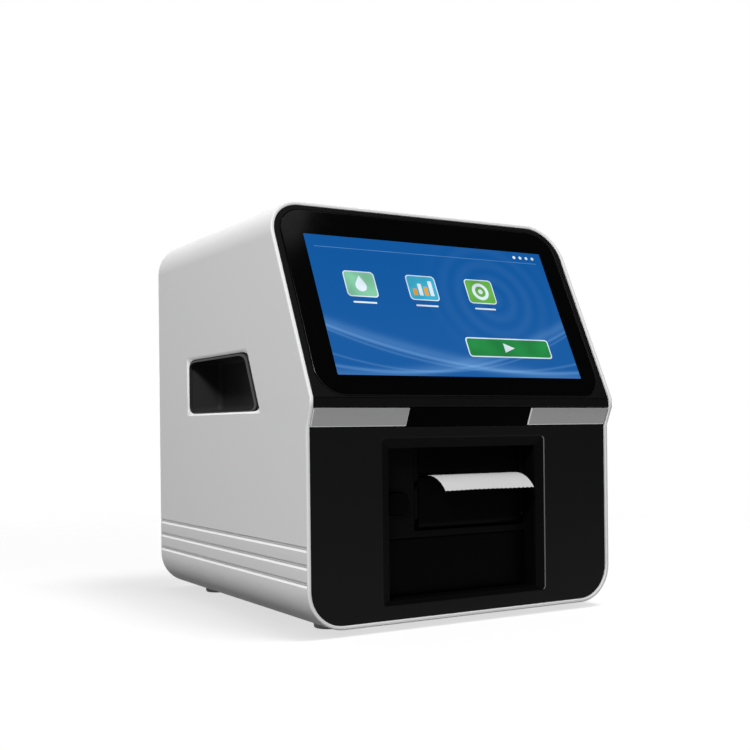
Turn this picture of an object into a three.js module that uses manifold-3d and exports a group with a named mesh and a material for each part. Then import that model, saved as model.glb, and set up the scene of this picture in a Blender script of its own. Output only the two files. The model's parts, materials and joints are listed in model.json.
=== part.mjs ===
// Bench analyzer for dry reagent discs: a white wrap-round casing, a leaning touch screen, and a
// dark recess that holds a motor-driven disc drawer and a strip printer with a drop-down door.
// Millimetres, +Z up. The front faces -Y. The origin is on the table, under the middle of the part.
// While it is built, the rim of the lower front is y = 0 and the underside of the casing is z = 0.
import * as THREE from "three";
import { mergeVertices } from "three/addons/utils/BufferGeometryUtils.js";
import Module from "manifold-3d";

const wasm = await Module();
wasm.setup();

// Gaps and the length by which a cut runs past what it cuts
const seatGap = 0.3;
const slideGap = 0.5;
const cutOverrun = 6;

// Casing
const casingWidth = 190;
const casingHeight = 216.4;
const casingDepth = 208;
const cornerRadius = 20;
const casingWall = 1.9;
const grooveDepth = 0.9;
const grooveHeight = 2.2;
const grooveHeights = [38.2, 29.7, 21.1];
const footHeight = 3.5;
const footRadius = 8;
const footStemRadius = 2;
const footSideInset = 27;
const footEndInset = 30;

// Front outline, seen from the side
const bandHeight = 9.8;
const browHeight = 4.8;
const browReach = 4.2;
const screenSetback = 45.7;

// Black front mouldings
const fasciaSetback = 0.8;
const fasciaWall = 3;
const skirtDepth = 10;
const skirtWall = 2;

// Touch screen, measured up the slope from the brow's edge
const glassSideMargin = 6;
const glassFootMargin = 1.2;
const glassTopMargin = 4.87;
const glassCornerRadius = 15;
const glassThickness = 1.8;
const displaySideInset = 6.5;
const displayFootInset = 3.8;
const displayTopInset = 9;
const displayThickness = 5.2;
const bracketTopLap = 4;
const bracketCorner = 5;
const bracketThickness = 1.2;
const bracketFold = 7;
const bracketSlotLength = 60;
const bracketSlotHeight = 14;
const bracketSlotRows = 3;
const bossRadius = 2.6;
const bossSideInset = 2.6;
const bossEndInset = 7;
const screwHoleRadius = 1.3;

// Trim band between the screen and the lower front
const bandThickness = 1.2;
const bandProud = 0.3;
const bandPlateWidth = 76.2;

// Recess in the lower front
const mouthSideGap = 0.7;
const buttonColumn = 21.3;
const mouthFootGap = 1.1;
const mouthTopGap = 0.4;
const mouthBandGap = 10.7;
const bevelSide = 5.2;
const bevelTop = 5.5;
const bevelFoot = 2.5;
const bevelDepth = 2;
const recessDepth = 12.2;
const linerWall = 2;
const linerFlange = 4;
const shelfGap = 0.4;
const shelfThickness = 3.5;

// Grips in the sides
const gripRear = 154.5;
const gripFoot = 107.4;
const gripTop = 141;
const gripFrontFoot = 54.2;
const gripCornerRadius = 4;
const gripBevel = 1.2;
const gripDepth = 19;
const gripDraft = 1.5;
const gripWall = 1.6;
const gripFlange = 4.5;

// Chassis
const chassisThickness = 1.6;
const chassisCornerLap = 1;
const chassisFront = 16;
const chassisRearInset = 8.5;
const chassisSlotLength = 16;
const chassisSlotWidth = 3.2;
const chassisSlotPitch = 7;
const chassisSlotCount = 7;

// Disc drawer
const drawerFrontThickness = 3;
const drawerFrontRise = 1;
const trayFloor = 2.5;
const traySideGap = 2.9;
const trayRearGap = 5;
const trayRib = 2;
const trayRibDrop = 3.5;
const pocketSideGap = 3;
const pocketWall = 2.4;
const pocketDepth = 13;
const fingerRadius = 11;
const spindleSlotWidth = 18;
const tongueReach = 2.4;
const tongueRise = 6;
const tongueThickness = 2;
const tongueFront = 44;
const clampTabHeight = 6;

// Rails that carry the drawer below and the warm plate above
const railFront = 20;
const railRearInset = 53;
const railWall = 1.8;
const railHeadroom = 3.5;
const railFlange = 8;
const motorNotchGap = 9;
const motorNotchRise = 2;

// Rack and pinion that drive the drawer
const gearModule = 0.8;
const pinionTeeth = 16;
const rackFront = 22.6;
const rackRearInset = 9;
const rackOffset = 37.5;
const rackWidth = 5;
const rackBack = 1.1;
const gearBacklash = 0.16;
const gearSlack = 0.1;
// Half a tooth's width at its root, pitch line and tip, as shares of the pitch; the root's depth in modules
const flankShares = { root: 0.36, pitch: 0.25, tip: 0.13 };
const dedendumShare = 1.25;
const pinionPlace = 30;
const pinionShaftRadius = 1.5;
const motorLift = 1;
const motorRadius = 10;
const motorLength = 18;
const gearboxRadius = 8;
const gearboxLength = 9;
const motorBracketWall = 1.4;
const motorBracketWidth = 26;
const motorBracketFoot = 14;

// Measuring station
const spindleMotorRadius = 22;
const spindleMotorDrop = 4;
const spindleMotorBore = 2.7;
const spindleShaftRadius = 2.5;
const spindleShaftDepth = 8;
const hubRadius = 8;
const hubRim = 1.6;
const hubNeckShare = 0.75;
const hubCrownShare = 0.5;
const drivePinPlaceShare = 0.85;
const drivePinRadiusShare = 0.12;
const motorShoulderShare = 0.6;
const warmPlateHalfWidth = 56;
const warmPlateFront = 21;
const warmPlateLength = 101;
const warmPlateThickness = 4;
const lightPath = 35;
const photometerWidth = 30;
const photometerLength = 26;
const photometerDrop = 5;
const photometerNoseRadius = 5;
const lensRadius = 3;
const lampWidth = 30;
const lampLength = 24;
const lampHeight = 24;
const lampTubeRadius = 4.5;
const readerSideInset = 9.5;
const readerWidth = 18;
const readerLength = 22;
const readerHeight = 13;
const readerFront = 67;
const readerWindow = 8;
const finDepth = 3;
const finPitch = 5;
const finGap = 2;

// Strip printer
const paperWidth = 57;
const paperCentre = 10.9;
const paperThickness = 0.35;
const paperReach = 15.2;
const paperDrop = 7.4;
const curlShares = { lead: 0.4, reach: 0.8, drop: 0.4 };
const printerGearSide = 9;
const printerPlainSide = 4.8;
const printerWall = 2;
const printerFloor = 2;
const printerRear = 63;
const printerRise = 18.9;
const printerRoof = 2;
const hingePlace = 16.5;
const hingeRise = 0.9;
const hingePinRadius = 1.2;
const hingeBoreRadius = 1.36;
const doorThickness = 1.8;
const doorTopDrop = 0.8;
const doorSideGap = 0.35;
const platenPlace = 19;
const platenRise = 19.9;
const platenRadius = 4.2;
const platenShaftRadius = 1.5;
const armWall = 1.6;
const armGap = 0.6;
const armTip = 3.2;
const armCornerShare = 0.6;
const notchDrop = 1.2;
const printerModule = 0.5;
const platenGearTeeth = 16;
const idlerTeeth = 24;
const printerGearWidth = 2.4;
const headClearance = 0.8;
const headDepth = 10;
const headLap = 0.5;
const headHeight = 6;
const tearBarDepth = 3.6;
const tearToothPitch = 3;
const tearToothHeight = 1;
const rollRadius = 15.5;
const rollCoreRadius = 6.5;
const rollPlace = 43.6;

// Door release button
const buttonInset = 10.3;
const buttonRise = 14.6;
const buttonWidth = 11;
const buttonCorner = 2;
const buttonProud = 2.4;
const buttonTravel = 1.8;
const buttonCollar = 1.4;
const buttonDepth = 7;

// Electronics
const boardWall = 1.4;
const boardSideInset = 20;
const boardLength = 87;
const boardRearInset = 11;
const boardGripGap = 13.4;
const boardFoot = 12;
const boardThickness = 1.6;
const boardStandoff = 3;
const boardStandoffRadius = 2.5;
const boardFootWidth = 13;
const chipSize = 22;
const chipHeight = 9;
const capacitorRadius = 4;
const capacitorHeight = 11;
const supplyLeft = -12;
const supplySideInset = 19;
const supplyRearInset = 9;
const supplyRailGap = 5;
const supplyHeight = 38;
const supplySlotWidth = 2.4;
const supplySlotPitch = 6;
const terminalDepth = 8;
const terminalHeight = 10;

// Rear panel and what it holds
const rearRecess = 5.2;
const rearThickness = 1.5;
const fanPlace = 40;
const fanTopInset = 66.4;
const fanSize = 60;
const fanDepth = 15;
const fanBoreRadius = 28.3;
const fanCornerRadius = 4;
const fanHubRadius = 12.5;
const fanBladeRadius = 27;
const fanBladeChord = 12;
const fanBladeThickness = 1.3;
const fanBladeCount = 7;
const fanBladeDegrees = 38;
const fanStrutWidth = 3;
const fanStrutDepth = 2.4;
const fanScrewSpread = 50;
const grilleRadius = 26.5;
const grillePitch = 5.4;
const grilleSlot = 3.2;
const grilleSlotCount = 9;
const ventLeft = -70;
const ventWidth = 44;
const ventTopInset = 88.4;
const ventCount = 8;
const inletPlace = 58;
const inletRise = 27.9;
const inletWidth = 27.4;
const inletTall = 19.8;
const inletFlange = 2;
const inletFlangeLap = 2.6;
const inletBody = 24;
const socketWidth = 24;
const socketTall = 16.4;
const socketDepth = 17;
const socketCorner = 4.5;
const pinWidth = 2;
const pinTall = 4;
const pinSpread = 7;
const pinDrop = 2;
const switchPlace = 20;
const switchWidth = 13;
const switchTall = 20.6;
const switchWall = 0.8;
const switchBody = 18;
const switchFlange = 1.8;
const rockerHalf = 8.6;
const rockerCrown = 4.6;
const rockerEnd = 3.4;
const rockerRoot = 5.5;
const rockerKeel = 2.6;
const rockerDegrees = 8;
const usbTopInset = 32;
const usbHeight = 15.6;
const usbWidth = 14;
const usbLength = 18;
const usbMouthWidth = 12.4;
const usbMouthHeight = 5.4;
const usbMouthDepth = 12;
const usbWall = 0.8;
const usbTongue = 2;
const networkDrop = 26;
const networkHeight = 13.6;
const networkWidth = 16;
const networkLength = 21;
const networkMouthWidth = 11.8;
const networkMouthHeight = 7.8;
const networkMouthDepth = 12;
const networkKeyWidth = 6;
const networkKeyHeight = 1.8;
const portProud = 0.8;

// Counts of flat faces on round stretches
const cornerSteps = 7;
const smallSteps = 2;
const roundSides = 32;
const wheelSides = 22;
const pinSides = 12;

// Heights, worked up from the table side: chassis, drawer, rails, printer, trim band, brow
const halfWidth = casingWidth / 2;
const innerFace = casingWall + seatGap;
const chassisTop = innerFace + chassisThickness;
const moduleBase = chassisTop + seatGap;
const mouthFoot = innerFace + skirtWall + mouthFootGap + linerFlange + linerWall;
const pinionPitchRadius = (gearModule * pinionTeeth) / 2;
const pinionHeight = moduleBase + motorRadius + motorLift;
const rackPitchHeight = pinionHeight + pinionPitchRadius + gearSlack;
const rackRootHeight = rackPitchHeight + dedendumShare * gearModule;
const trayFoot = rackRootHeight + rackBack + seatGap;
const trayFloorTop = trayFoot + trayFloor;
const pocketTop = trayFloorTop + pocketDepth;
const trayRibTop = pocketTop - trayRibDrop;
const tongueFoot = trayFoot + tongueRise;
const spindleMotorTop = trayFoot - spindleMotorDrop;
const hubTop = trayFloorTop - seatGap;
const photometerTop = trayFoot - photometerDrop;
const railTop = pocketTop + railHeadroom;
const drawerFrontTop = pocketTop + drawerFrontRise;
const shelfFoot = drawerFrontTop + shelfGap;
const shelfTop = shelfFoot + shelfThickness;
const warmPlateFoot = railTop + seatGap;
const warmPlateTop = warmPlateFoot + warmPlateThickness;
const printerFoot = warmPlateTop + seatGap;
const hingeHeight = printerFoot + hingeRise;
const platenHeight = hingeHeight + platenRise;
const printerTop = platenHeight + printerRise;
const doorTop = platenHeight + platenRadius - doorTopDrop;
const buttonHeight = shelfTop + buttonRise;
const mouthTop = printerTop + mouthTopGap;
const bandFootHeight = mouthTop + mouthBandGap;
const browFootHeight = bandFootHeight + bandHeight;
const browTopHeight = browFootHeight + browHeight;
const boardTop = gripFoot - boardGripGap;
const inletHeight = moduleBase + supplyHeight + inletRise;
const fanHeight = casingHeight - fanTopInset;
const ventFoot = casingHeight - ventTopInset;
const usbFoot = boardTop - usbTopInset;
const networkFoot = usbFoot - networkDrop;

// Places along the depth
const railRear = casingDepth - railRearInset;
const trayRear = railRear - trayRearGap;
const rackRear = trayRear - rackRearInset;
const warmPlateRear = warmPlateFront + warmPlateLength;
const boardRear = casingDepth - boardRearInset;
const boardFront = boardRear - boardLength;
const supplyRear = casingDepth - supplyRearInset;
const supplyFront = railRear + supplyRailGap;
const rearFace = casingDepth - rearRecess;
const rearPanelFront = rearFace - rearThickness;

// Places across the width: the paper sets the printer, and the printer sets the recess
const printerLeft = paperCentre - paperWidth / 2 - printerGearSide;
const printerRight = paperCentre + paperWidth / 2 + printerPlainSide;
const mouthLeft = printerLeft - buttonColumn;
const mouthRight = printerRight + mouthSideGap;
const mouthWidth = mouthRight - mouthLeft;
const recessCentre = (mouthLeft + mouthRight) / 2;
const buttonPlace = mouthLeft + buttonInset;
const trayHalfWidth = mouthWidth / 2 - traySideGap;
const pocketRadius = trayHalfWidth - pocketSideGap;
const pocketPlace = recessDepth + drawerFrontThickness + seatGap + pocketWall + pocketRadius;
const headHalf = paperWidth / 2 + headLap;
const readerLeft = recessCentre - warmPlateHalfWidth + readerSideInset;
const boardBracketPlace = boardSideInset - halfWidth;
const supplyRight = halfWidth - supplySideInset;

// The screen's slope, and what lies on it, measured up from the brow's edge
const slopeRise = casingHeight - browTopHeight;
const slopeRun = screenSetback + browReach;
const slopeLength = Math.hypot(slopeRise, slopeRun);
const slopeAngle = Math.atan2(slopeRise, slopeRun);
const glassHalf = halfWidth - glassSideMargin;
const glassFoot = glassFootMargin;
const glassTop = slopeLength - glassTopMargin;
const displayHalf = glassHalf - displaySideInset;
const displayFoot = glassFoot + displayFootInset;
const displayTop = glassTop - displayTopInset;
const displayBack = -glassThickness - seatGap - displayThickness;
const bracketFace = displayBack - seatGap;
const bezelLedge = browFootHeight + seatGap / 2;
const bracketFoldDrop = (bracketFold - bracketFace) * Math.cos(slopeAngle);
const bracketFoot =
  (bezelLedge + skirtWall + seatGap - browTopHeight + bracketFoldDrop) / Math.sin(slopeAngle);
const bracketTop = displayTop + bracketTopLap;

const finishes = {
  white: { color: 0xd9d9d9, roughness: 0.45, metalness: 0 },
  black: { color: 0x161616, roughness: 0.4, metalness: 0 },
  glass: { color: 0x050505, roughness: 0.06, metalness: 0 },
  display: { color: 0x1258a0, roughness: 0.3, metalness: 0 },
  trim: { color: 0x8a8a8a, roughness: 0.35, metalness: 0.9 },
  steel: { color: 0x9da1a4, roughness: 0.4, metalness: 0.9 },
  alloy: { color: 0xb4b6b8, roughness: 0.35, metalness: 0.85 },
  rubber: { color: 0x1c1c1c, roughness: 0.85, metalness: 0 },
  tray: { color: 0x2a2c2e, roughness: 0.5, metalness: 0 },
  gear: { color: 0xe6e2d6, roughness: 0.5, metalness: 0 },
  board: { color: 0x14573a, roughness: 0.5, metalness: 0 },
  paper: { color: 0xe4e4e2, roughness: 0.8, metalness: 0 },
};

// A closed geometry as a solid, turned right side out if its profile ran the other way.
function solidOf(geometry) {
  const bare = geometry.clone();
  bare.deleteAttribute("normal");
  bare.deleteAttribute("uv");
  const merged = mergeVertices(bare);
  const triVerts = new Uint32Array(merged.index.array);
  const vertProperties = new Float32Array(merged.attributes.position.array);
  const made = new wasm.Manifold(new wasm.Mesh({ numProp: 3, vertProperties, triVerts }));
  if (made.volume() > 0) return made;
  const turned = triVerts.map((_, i) => triVerts[i % 3 === 0 ? i : i % 3 === 1 ? i + 1 : i - 1]);
  return new wasm.Manifold(new wasm.Mesh({ numProp: 3, vertProperties, triVerts: turned }));
}

function geometryOf(solid) {
  const mesh = solid.getMesh();
  const points = new Float32Array(mesh.numVert * 3);
  for (let i = 0; i < mesh.numVert; i++) {
    points.set(mesh.vertProperties.subarray(i * mesh.numProp, i * mesh.numProp + 3), i * 3);
  }
  const geometry = new THREE.BufferGeometry();
  geometry.setAttribute("position", new THREE.BufferAttribute(points, 3));
  geometry.setIndex(new THREE.BufferAttribute(new Uint32Array(mesh.triVerts), 1));
  geometry.computeVertexNormals();
  return geometry;
}

const join = (first, ...rest) => rest.reduce((sum, next) => sum.add(next), first);
const cut = (first, ...rest) => rest.reduce((sum, next) => sum.subtract(next), first);
const times = (count, make) => Array.from({ length: count }, (_, i) => make(i));

function block([x0, x1], [y0, y1], [z0, z1]) {
  const box = new THREE.BoxGeometry(x1 - x0, y1 - y0, z1 - z0);
  return solidOf(box.translate((x0 + x1) / 2, (y0 + y1) / 2, (z0 + z1) / 2));
}

// A flat outline pushed through along one axis. Its two coordinates are y, z along X; x, z along Y;
// and x, y along Z.
const pushAxes = {
  x: new THREE.Matrix4().makeBasis(
    new THREE.Vector3(0, 1, 0),
    new THREE.Vector3(0, 0, 1),
    new THREE.Vector3(1, 0, 0),
  ),
  y: new THREE.Matrix4().makeBasis(
    new THREE.Vector3(1, 0, 0),
    new THREE.Vector3(0, 0, 1),
    new THREE.Vector3(0, -1, 0),
  ),
  z: new THREE.Matrix4(),
};

function push(axis, outline, from, to, steps = smallSteps) {
  const shape = Array.isArray(outline)
    ? new THREE.Shape(outline.map(([a, b]) => new THREE.Vector2(a, b)))
    : outline;
  const settings = { depth: to - from, bevelEnabled: false, curveSegments: steps };
  const geometry = new THREE.ExtrudeGeometry(shape, settings);
  geometry.translate(0, 0, axis === "y" ? -to : from);
  return solidOf(geometry.applyMatrix4(pushAxes[axis]));
}

// A closed or axis-to-axis profile of [radius, height] points, turned about the vertical.
function turnZ(profile, sides) {
  const points = profile.map(([r, h]) => new THREE.Vector2(r, h));
  const geometry = new THREE.LatheGeometry(points, sides);
  return solidOf(geometry.rotateX(Math.PI / 2));
}

function rod(axis, [a, b], radius, from, to, sides = wheelSides) {
  const circle = times(sides, (i) => {
    const angle = ((i + 0.5) / sides) * 2 * Math.PI;
    return [a + radius * Math.cos(angle), b + radius * Math.sin(angle)];
  });
  return push(axis, circle, from, to);
}

function roundedBox([a0, a1], [b0, b1], radius) {
  const shape = new THREE.Shape();
  shape.moveTo(a0 + radius, b0);
  shape.lineTo(a1 - radius, b0);
  shape.absarc(a1 - radius, b0 + radius, radius, -Math.PI / 2, 0);
  shape.lineTo(a1, b1 - radius);
  shape.absarc(a1 - radius, b1 - radius, radius, 0, Math.PI / 2);
  shape.lineTo(a0 + radius, b1);
  shape.absarc(a0 + radius, b1 - radius, radius, Math.PI / 2, Math.PI);
  shape.lineTo(a0, b0 + radius);
  shape.absarc(a0 + radius, b0 + radius, radius, Math.PI, 1.5 * Math.PI);
  return shape;
}

// Straight-sided outline with its corners rounded off.
function roundedOutline(corners, radius) {
  const points = corners.map(([a, b]) => new THREE.Vector2(a, b));
  const shape = new THREE.Shape();
  points.forEach((corner, i) => {
    const before = points[(i + points.length - 1) % points.length];
    const after = points[(i + 1) % points.length];
    const start = before.clone().sub(corner).setLength(radius).add(corner);
    const end = after.clone().sub(corner).setLength(radius).add(corner);
    if (i === 0) shape.moveTo(start.x, start.y);
    else shape.lineTo(start.x, start.y);
    shape.quadraticCurveTo(corner.x, corner.y, end.x, end.y);
  });
  return shape;
}

// A body between rings of points that all have the same count, closed by a flat face at each end.
function loft(rings) {
  const count = rings[0].length;
  const points = rings.flat();
  const faces = [];
  rings.slice(1).forEach((_, level) => {
    for (let i = 0; i < count; i++) {
      const a = level * count + i;
      const b = level * count + ((i + 1) % count);
      faces.push(a, b, b + count, a, b + count, a + count);
    }
  });
  const last = (rings.length - 1) * count;
  for (let i = 1; i < count - 1; i++) {
    faces.push(0, i + 1, i, last, last + i, last + i + 1);
  }
  const geometry = new THREE.BufferGeometry();
  geometry.setAttribute("position", new THREE.Float32BufferAttribute(points.flat(), 3));
  geometry.setIndex(faces);
  return solidOf(geometry);
}

const meshes = new THREE.Group();

function add(group, name, solid, finish) {
  const mesh = new THREE.Mesh(geometryOf(solid), new THREE.MeshStandardMaterial(finishes[finish]));
  mesh.name = name;
  group.add(mesh);
  return mesh;
}

function section() {
  const group = new THREE.Group();
  meshes.add(group);
  return group;
}

// Front outline of the casing, moved back by a shift, from the table side to the top edge.
function frontLine(shift) {
  return [
    [shift, 0],
    [shift, bandFootHeight],
    [shift - browReach, browFootHeight],
    [shift - browReach, browTopHeight],
    [shift + screenSetback, casingHeight],
  ];
}

// Place of the leaning trim band's outer plane at a height.
const bandLean = (height) =>
  (-browReach * (height - bandFootHeight)) / (browFootHeight - bandFootHeight);

// The casing's section, drawn in by an inset, between two depths.
function wrap(inset, from, to) {
  const section = roundedBox(
    [inset - halfWidth, halfWidth - inset],
    [inset, casingHeight - inset],
    cornerRadius - inset,
  );
  return push("y", section, from, to, cornerSteps);
}

// The slope's own axes: x across, y up the slope from the brow's edge, z out towards the viewer.
const slopeMatrix = new THREE.Matrix4()
  .makeTranslation(0, fasciaSetback - browReach, browTopHeight)
  .multiply(new THREE.Matrix4().makeRotationX(slopeAngle));

function onSlope(shape, from, to, steps = smallSteps) {
  const settings = { depth: to - from, bevelEnabled: false, curveSegments: steps };
  const geometry = new THREE.ExtrudeGeometry(shape, settings);
  return solidOf(geometry.translate(0, 0, from).applyMatrix4(slopeMatrix));
}

// Outline of the grip, as y, z corners, grown outwards by a margin.
const gripSlope = slopeRun / slopeRise;
const gripFrontTop = gripFrontFoot + (gripTop - gripFoot) * gripSlope;
function gripRing(margin, x) {
  const lean = margin * gripSlope;
  const outline = roundedOutline(
    [
      [gripFrontFoot - margin - lean, gripFoot - margin],
      [gripRear + margin, gripFoot - margin],
      [gripRear + margin, gripTop + margin],
      [gripFrontTop - margin + lean, gripTop + margin],
    ],
    gripCornerRadius,
  );
  return outline.getPoints(smallSteps).slice(0, -1).map((p) => [x, p.x, p.y]);
}

const footPlaces = [
  ["front_left_foot", footSideInset - halfWidth, footEndInset],
  ["front_right_foot", halfWidth - footSideInset, footEndInset],
  ["rear_left_foot", footSideInset - halfWidth, casingDepth - footEndInset],
  ["rear_right_foot", halfWidth - footSideInset, casingDepth - footEndInset],
];

function buildCasing() {
  const group = section();
  const sideOutline = [...frontLine(0), [casingDepth, casingHeight], [casingDepth, 0]];
  const profile = push("x", sideOutline, -halfWidth - cutOverrun, halfWidth + cutOverrun);
  const grooves = [-1, 1].flatMap((side) =>
    grooveHeights.map((height) =>
      push(
        "y",
        [
          [side * (halfWidth + grooveDepth), height - grooveHeight],
          [side * (halfWidth + grooveDepth), height + grooveHeight],
          [side * (halfWidth - grooveDepth), height],
        ],
        -cutOverrun,
        casingDepth + cutOverrun,
      ),
    ),
  );
  const grips = [-1, 1].flatMap((side) => [
    loft([
      gripRing(0, side * (halfWidth - casingWall - cutOverrun)),
      gripRing(0, side * (halfWidth + cutOverrun)),
    ]),
    loft([
      gripRing(-gripBevel, side * (halfWidth - 2 * gripBevel)),
      gripRing(2 * gripBevel, side * (halfWidth + gripBevel)),
    ]),
  ]);
  const stemHoles = footPlaces.map(([, x, y]) =>
    rod("z", [x, y], footStemRadius + seatGap, -cutOverrun, casingWall + cutOverrun, pinSides),
  );
  const hollow = wrap(casingWall, -cutOverrun - browReach, casingDepth + cutOverrun);
  const shell = wrap(0, -browReach - cutOverrun, casingDepth).intersect(profile);
  add(group, "outer_casing", cut(shell, hollow, ...grooves, ...grips, ...stemHoles), "white");

  [
    ["left_grip_cup", -1],
    ["right_grip_cup", 1],
  ].forEach(([name, side]) => {
    const mouth = side * (halfWidth - innerFace);
    const deep = side * (halfWidth - innerFace - gripDepth);
    const out = mouth + side * cutOverrun;
    const flange = loft([gripRing(gripFlange, mouth - side * gripWall), gripRing(gripFlange, mouth)]);
    const shellFloor = gripRing(gripWall - gripDraft, deep - side * gripWall);
    const shellCup = loft([shellFloor, gripRing(gripWall, mouth)]);
    const hollowCup = loft([gripRing(-gripDraft, deep), gripRing(0, mouth), gripRing(0, out)]);
    add(group, name, cut(join(flange, shellCup), hollowCup), "black");
  });

  footPlaces.forEach(([name, x, y]) => {
    const foot = turnZ(
      [
        [0, -footHeight],
        [footRadius - seatGap, -footHeight],
        [footRadius, -footHeight / 2],
        [footRadius, -seatGap],
        [footStemRadius, -seatGap],
        [footStemRadius, chassisTop],
        [0, chassisTop],
      ],
      wheelSides,
    );
    add(group, name, foot, "rubber").position.set(x, y, 0);
  });
}

function buildScreen() {
  const group = section();
  const front = fasciaSetback;
  const ledge = bezelLedge;
  const slab = (near, far, foot) => {
    const top = frontLine(far).slice(3);
    return push(
      "x",
      [
        [near - browReach, foot],
        [near - browReach, browTopHeight],
        [near + screenSetback, casingHeight],
        ...top.reverse(),
        [far - browReach, foot],
      ],
      -halfWidth,
      halfWidth,
    );
  };
  const reach = fasciaWall + skirtDepth;
  const whole = slab(front, front + reach, ledge).intersect(wrap(innerFace, -casingDepth, casingDepth));
  const hollow = slab(front + fasciaWall, front + reach + cutOverrun, ledge + skirtWall).intersect(
    wrap(innerFace + skirtWall, -casingDepth, casingDepth),
  );
  const glassShape = (margin) =>
    roundedBox(
      [-glassHalf - margin, glassHalf + margin],
      [glassFoot - margin, glassTop + margin],
      glassCornerRadius + margin,
    );
  const displayShape = (margin) =>
    roundedBox(
      [-displayHalf - margin, displayHalf + margin],
      [displayFoot - margin, displayTop + margin],
      seatGap,
    );
  const displayFace = -glassThickness - seatGap;
  const bossPlaces = [bossSideInset - glassHalf, glassHalf - bossSideInset].flatMap((x) => [
    [x, displayFoot + bossEndInset],
    [x, displayTop - bossEndInset],
  ]);
  const circle = ([x, y], radius) => new THREE.Shape().absarc(x, y, radius, 0, 2 * Math.PI);
  const bosses = bossPlaces.map((place) =>
    onSlope(circle(place, bossRadius), bracketFace + seatGap, displayFace),
  );
  const bossBores = bossPlaces.map((place) =>
    onSlope(circle(place, screwHoleRadius), bracketFace - cutOverrun, displayFace - seatGap),
  );
  const bezel = cut(
    join(cut(whole, hollow), ...bosses),
    onSlope(glassShape(seatGap), displayFace, cutOverrun, cornerSteps),
    onSlope(displayShape(seatGap), -reach, cutOverrun),
    ...bossBores,
  );
  add(group, "screen_bezel", bezel, "black");
  add(group, "touch_glass", onSlope(glassShape(0), -glassThickness, 0, cornerSteps), "glass");
  add(group, "lcd_panel", onSlope(displayShape(0), bracketFace + seatGap, displayFace), "display");

  const bracketShape = roundedBox([-glassHalf, glassHalf], [bracketFoot, bracketTop], bracketCorner);
  bossPlaces.forEach((place) => bracketShape.holes.push(circle(place, screwHoleRadius)));
  const sheet = onSlope(bracketShape, bracketFace - bracketThickness, bracketFace);
  const folds = [bracketFoot, bracketTop - bracketThickness].map((foot) =>
    onSlope(
      roundedBox([-displayHalf, displayHalf], [foot, foot + bracketThickness], seatGap),
      bracketFace - bracketFold,
      bracketFace,
    ),
  );
  const slotSpread = (bracketTop - bracketFoot) / (bracketSlotRows + 1);
  const slots = times(bracketSlotRows, (row) => {
    const centre = bracketFoot + (row + 1) * slotSpread;
    return onSlope(
      roundedBox(
        [-bracketSlotLength / 2, bracketSlotLength / 2],
        [centre - bracketSlotHeight / 2, centre + bracketSlotHeight / 2],
        bracketSlotHeight / 4,
      ),
      bracketFace - bracketFold,
      bracketFace + cutOverrun,
    );
  });
  add(group, "lcd_bracket", cut(join(sheet, ...folds), ...slots), "steel");
}

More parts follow.
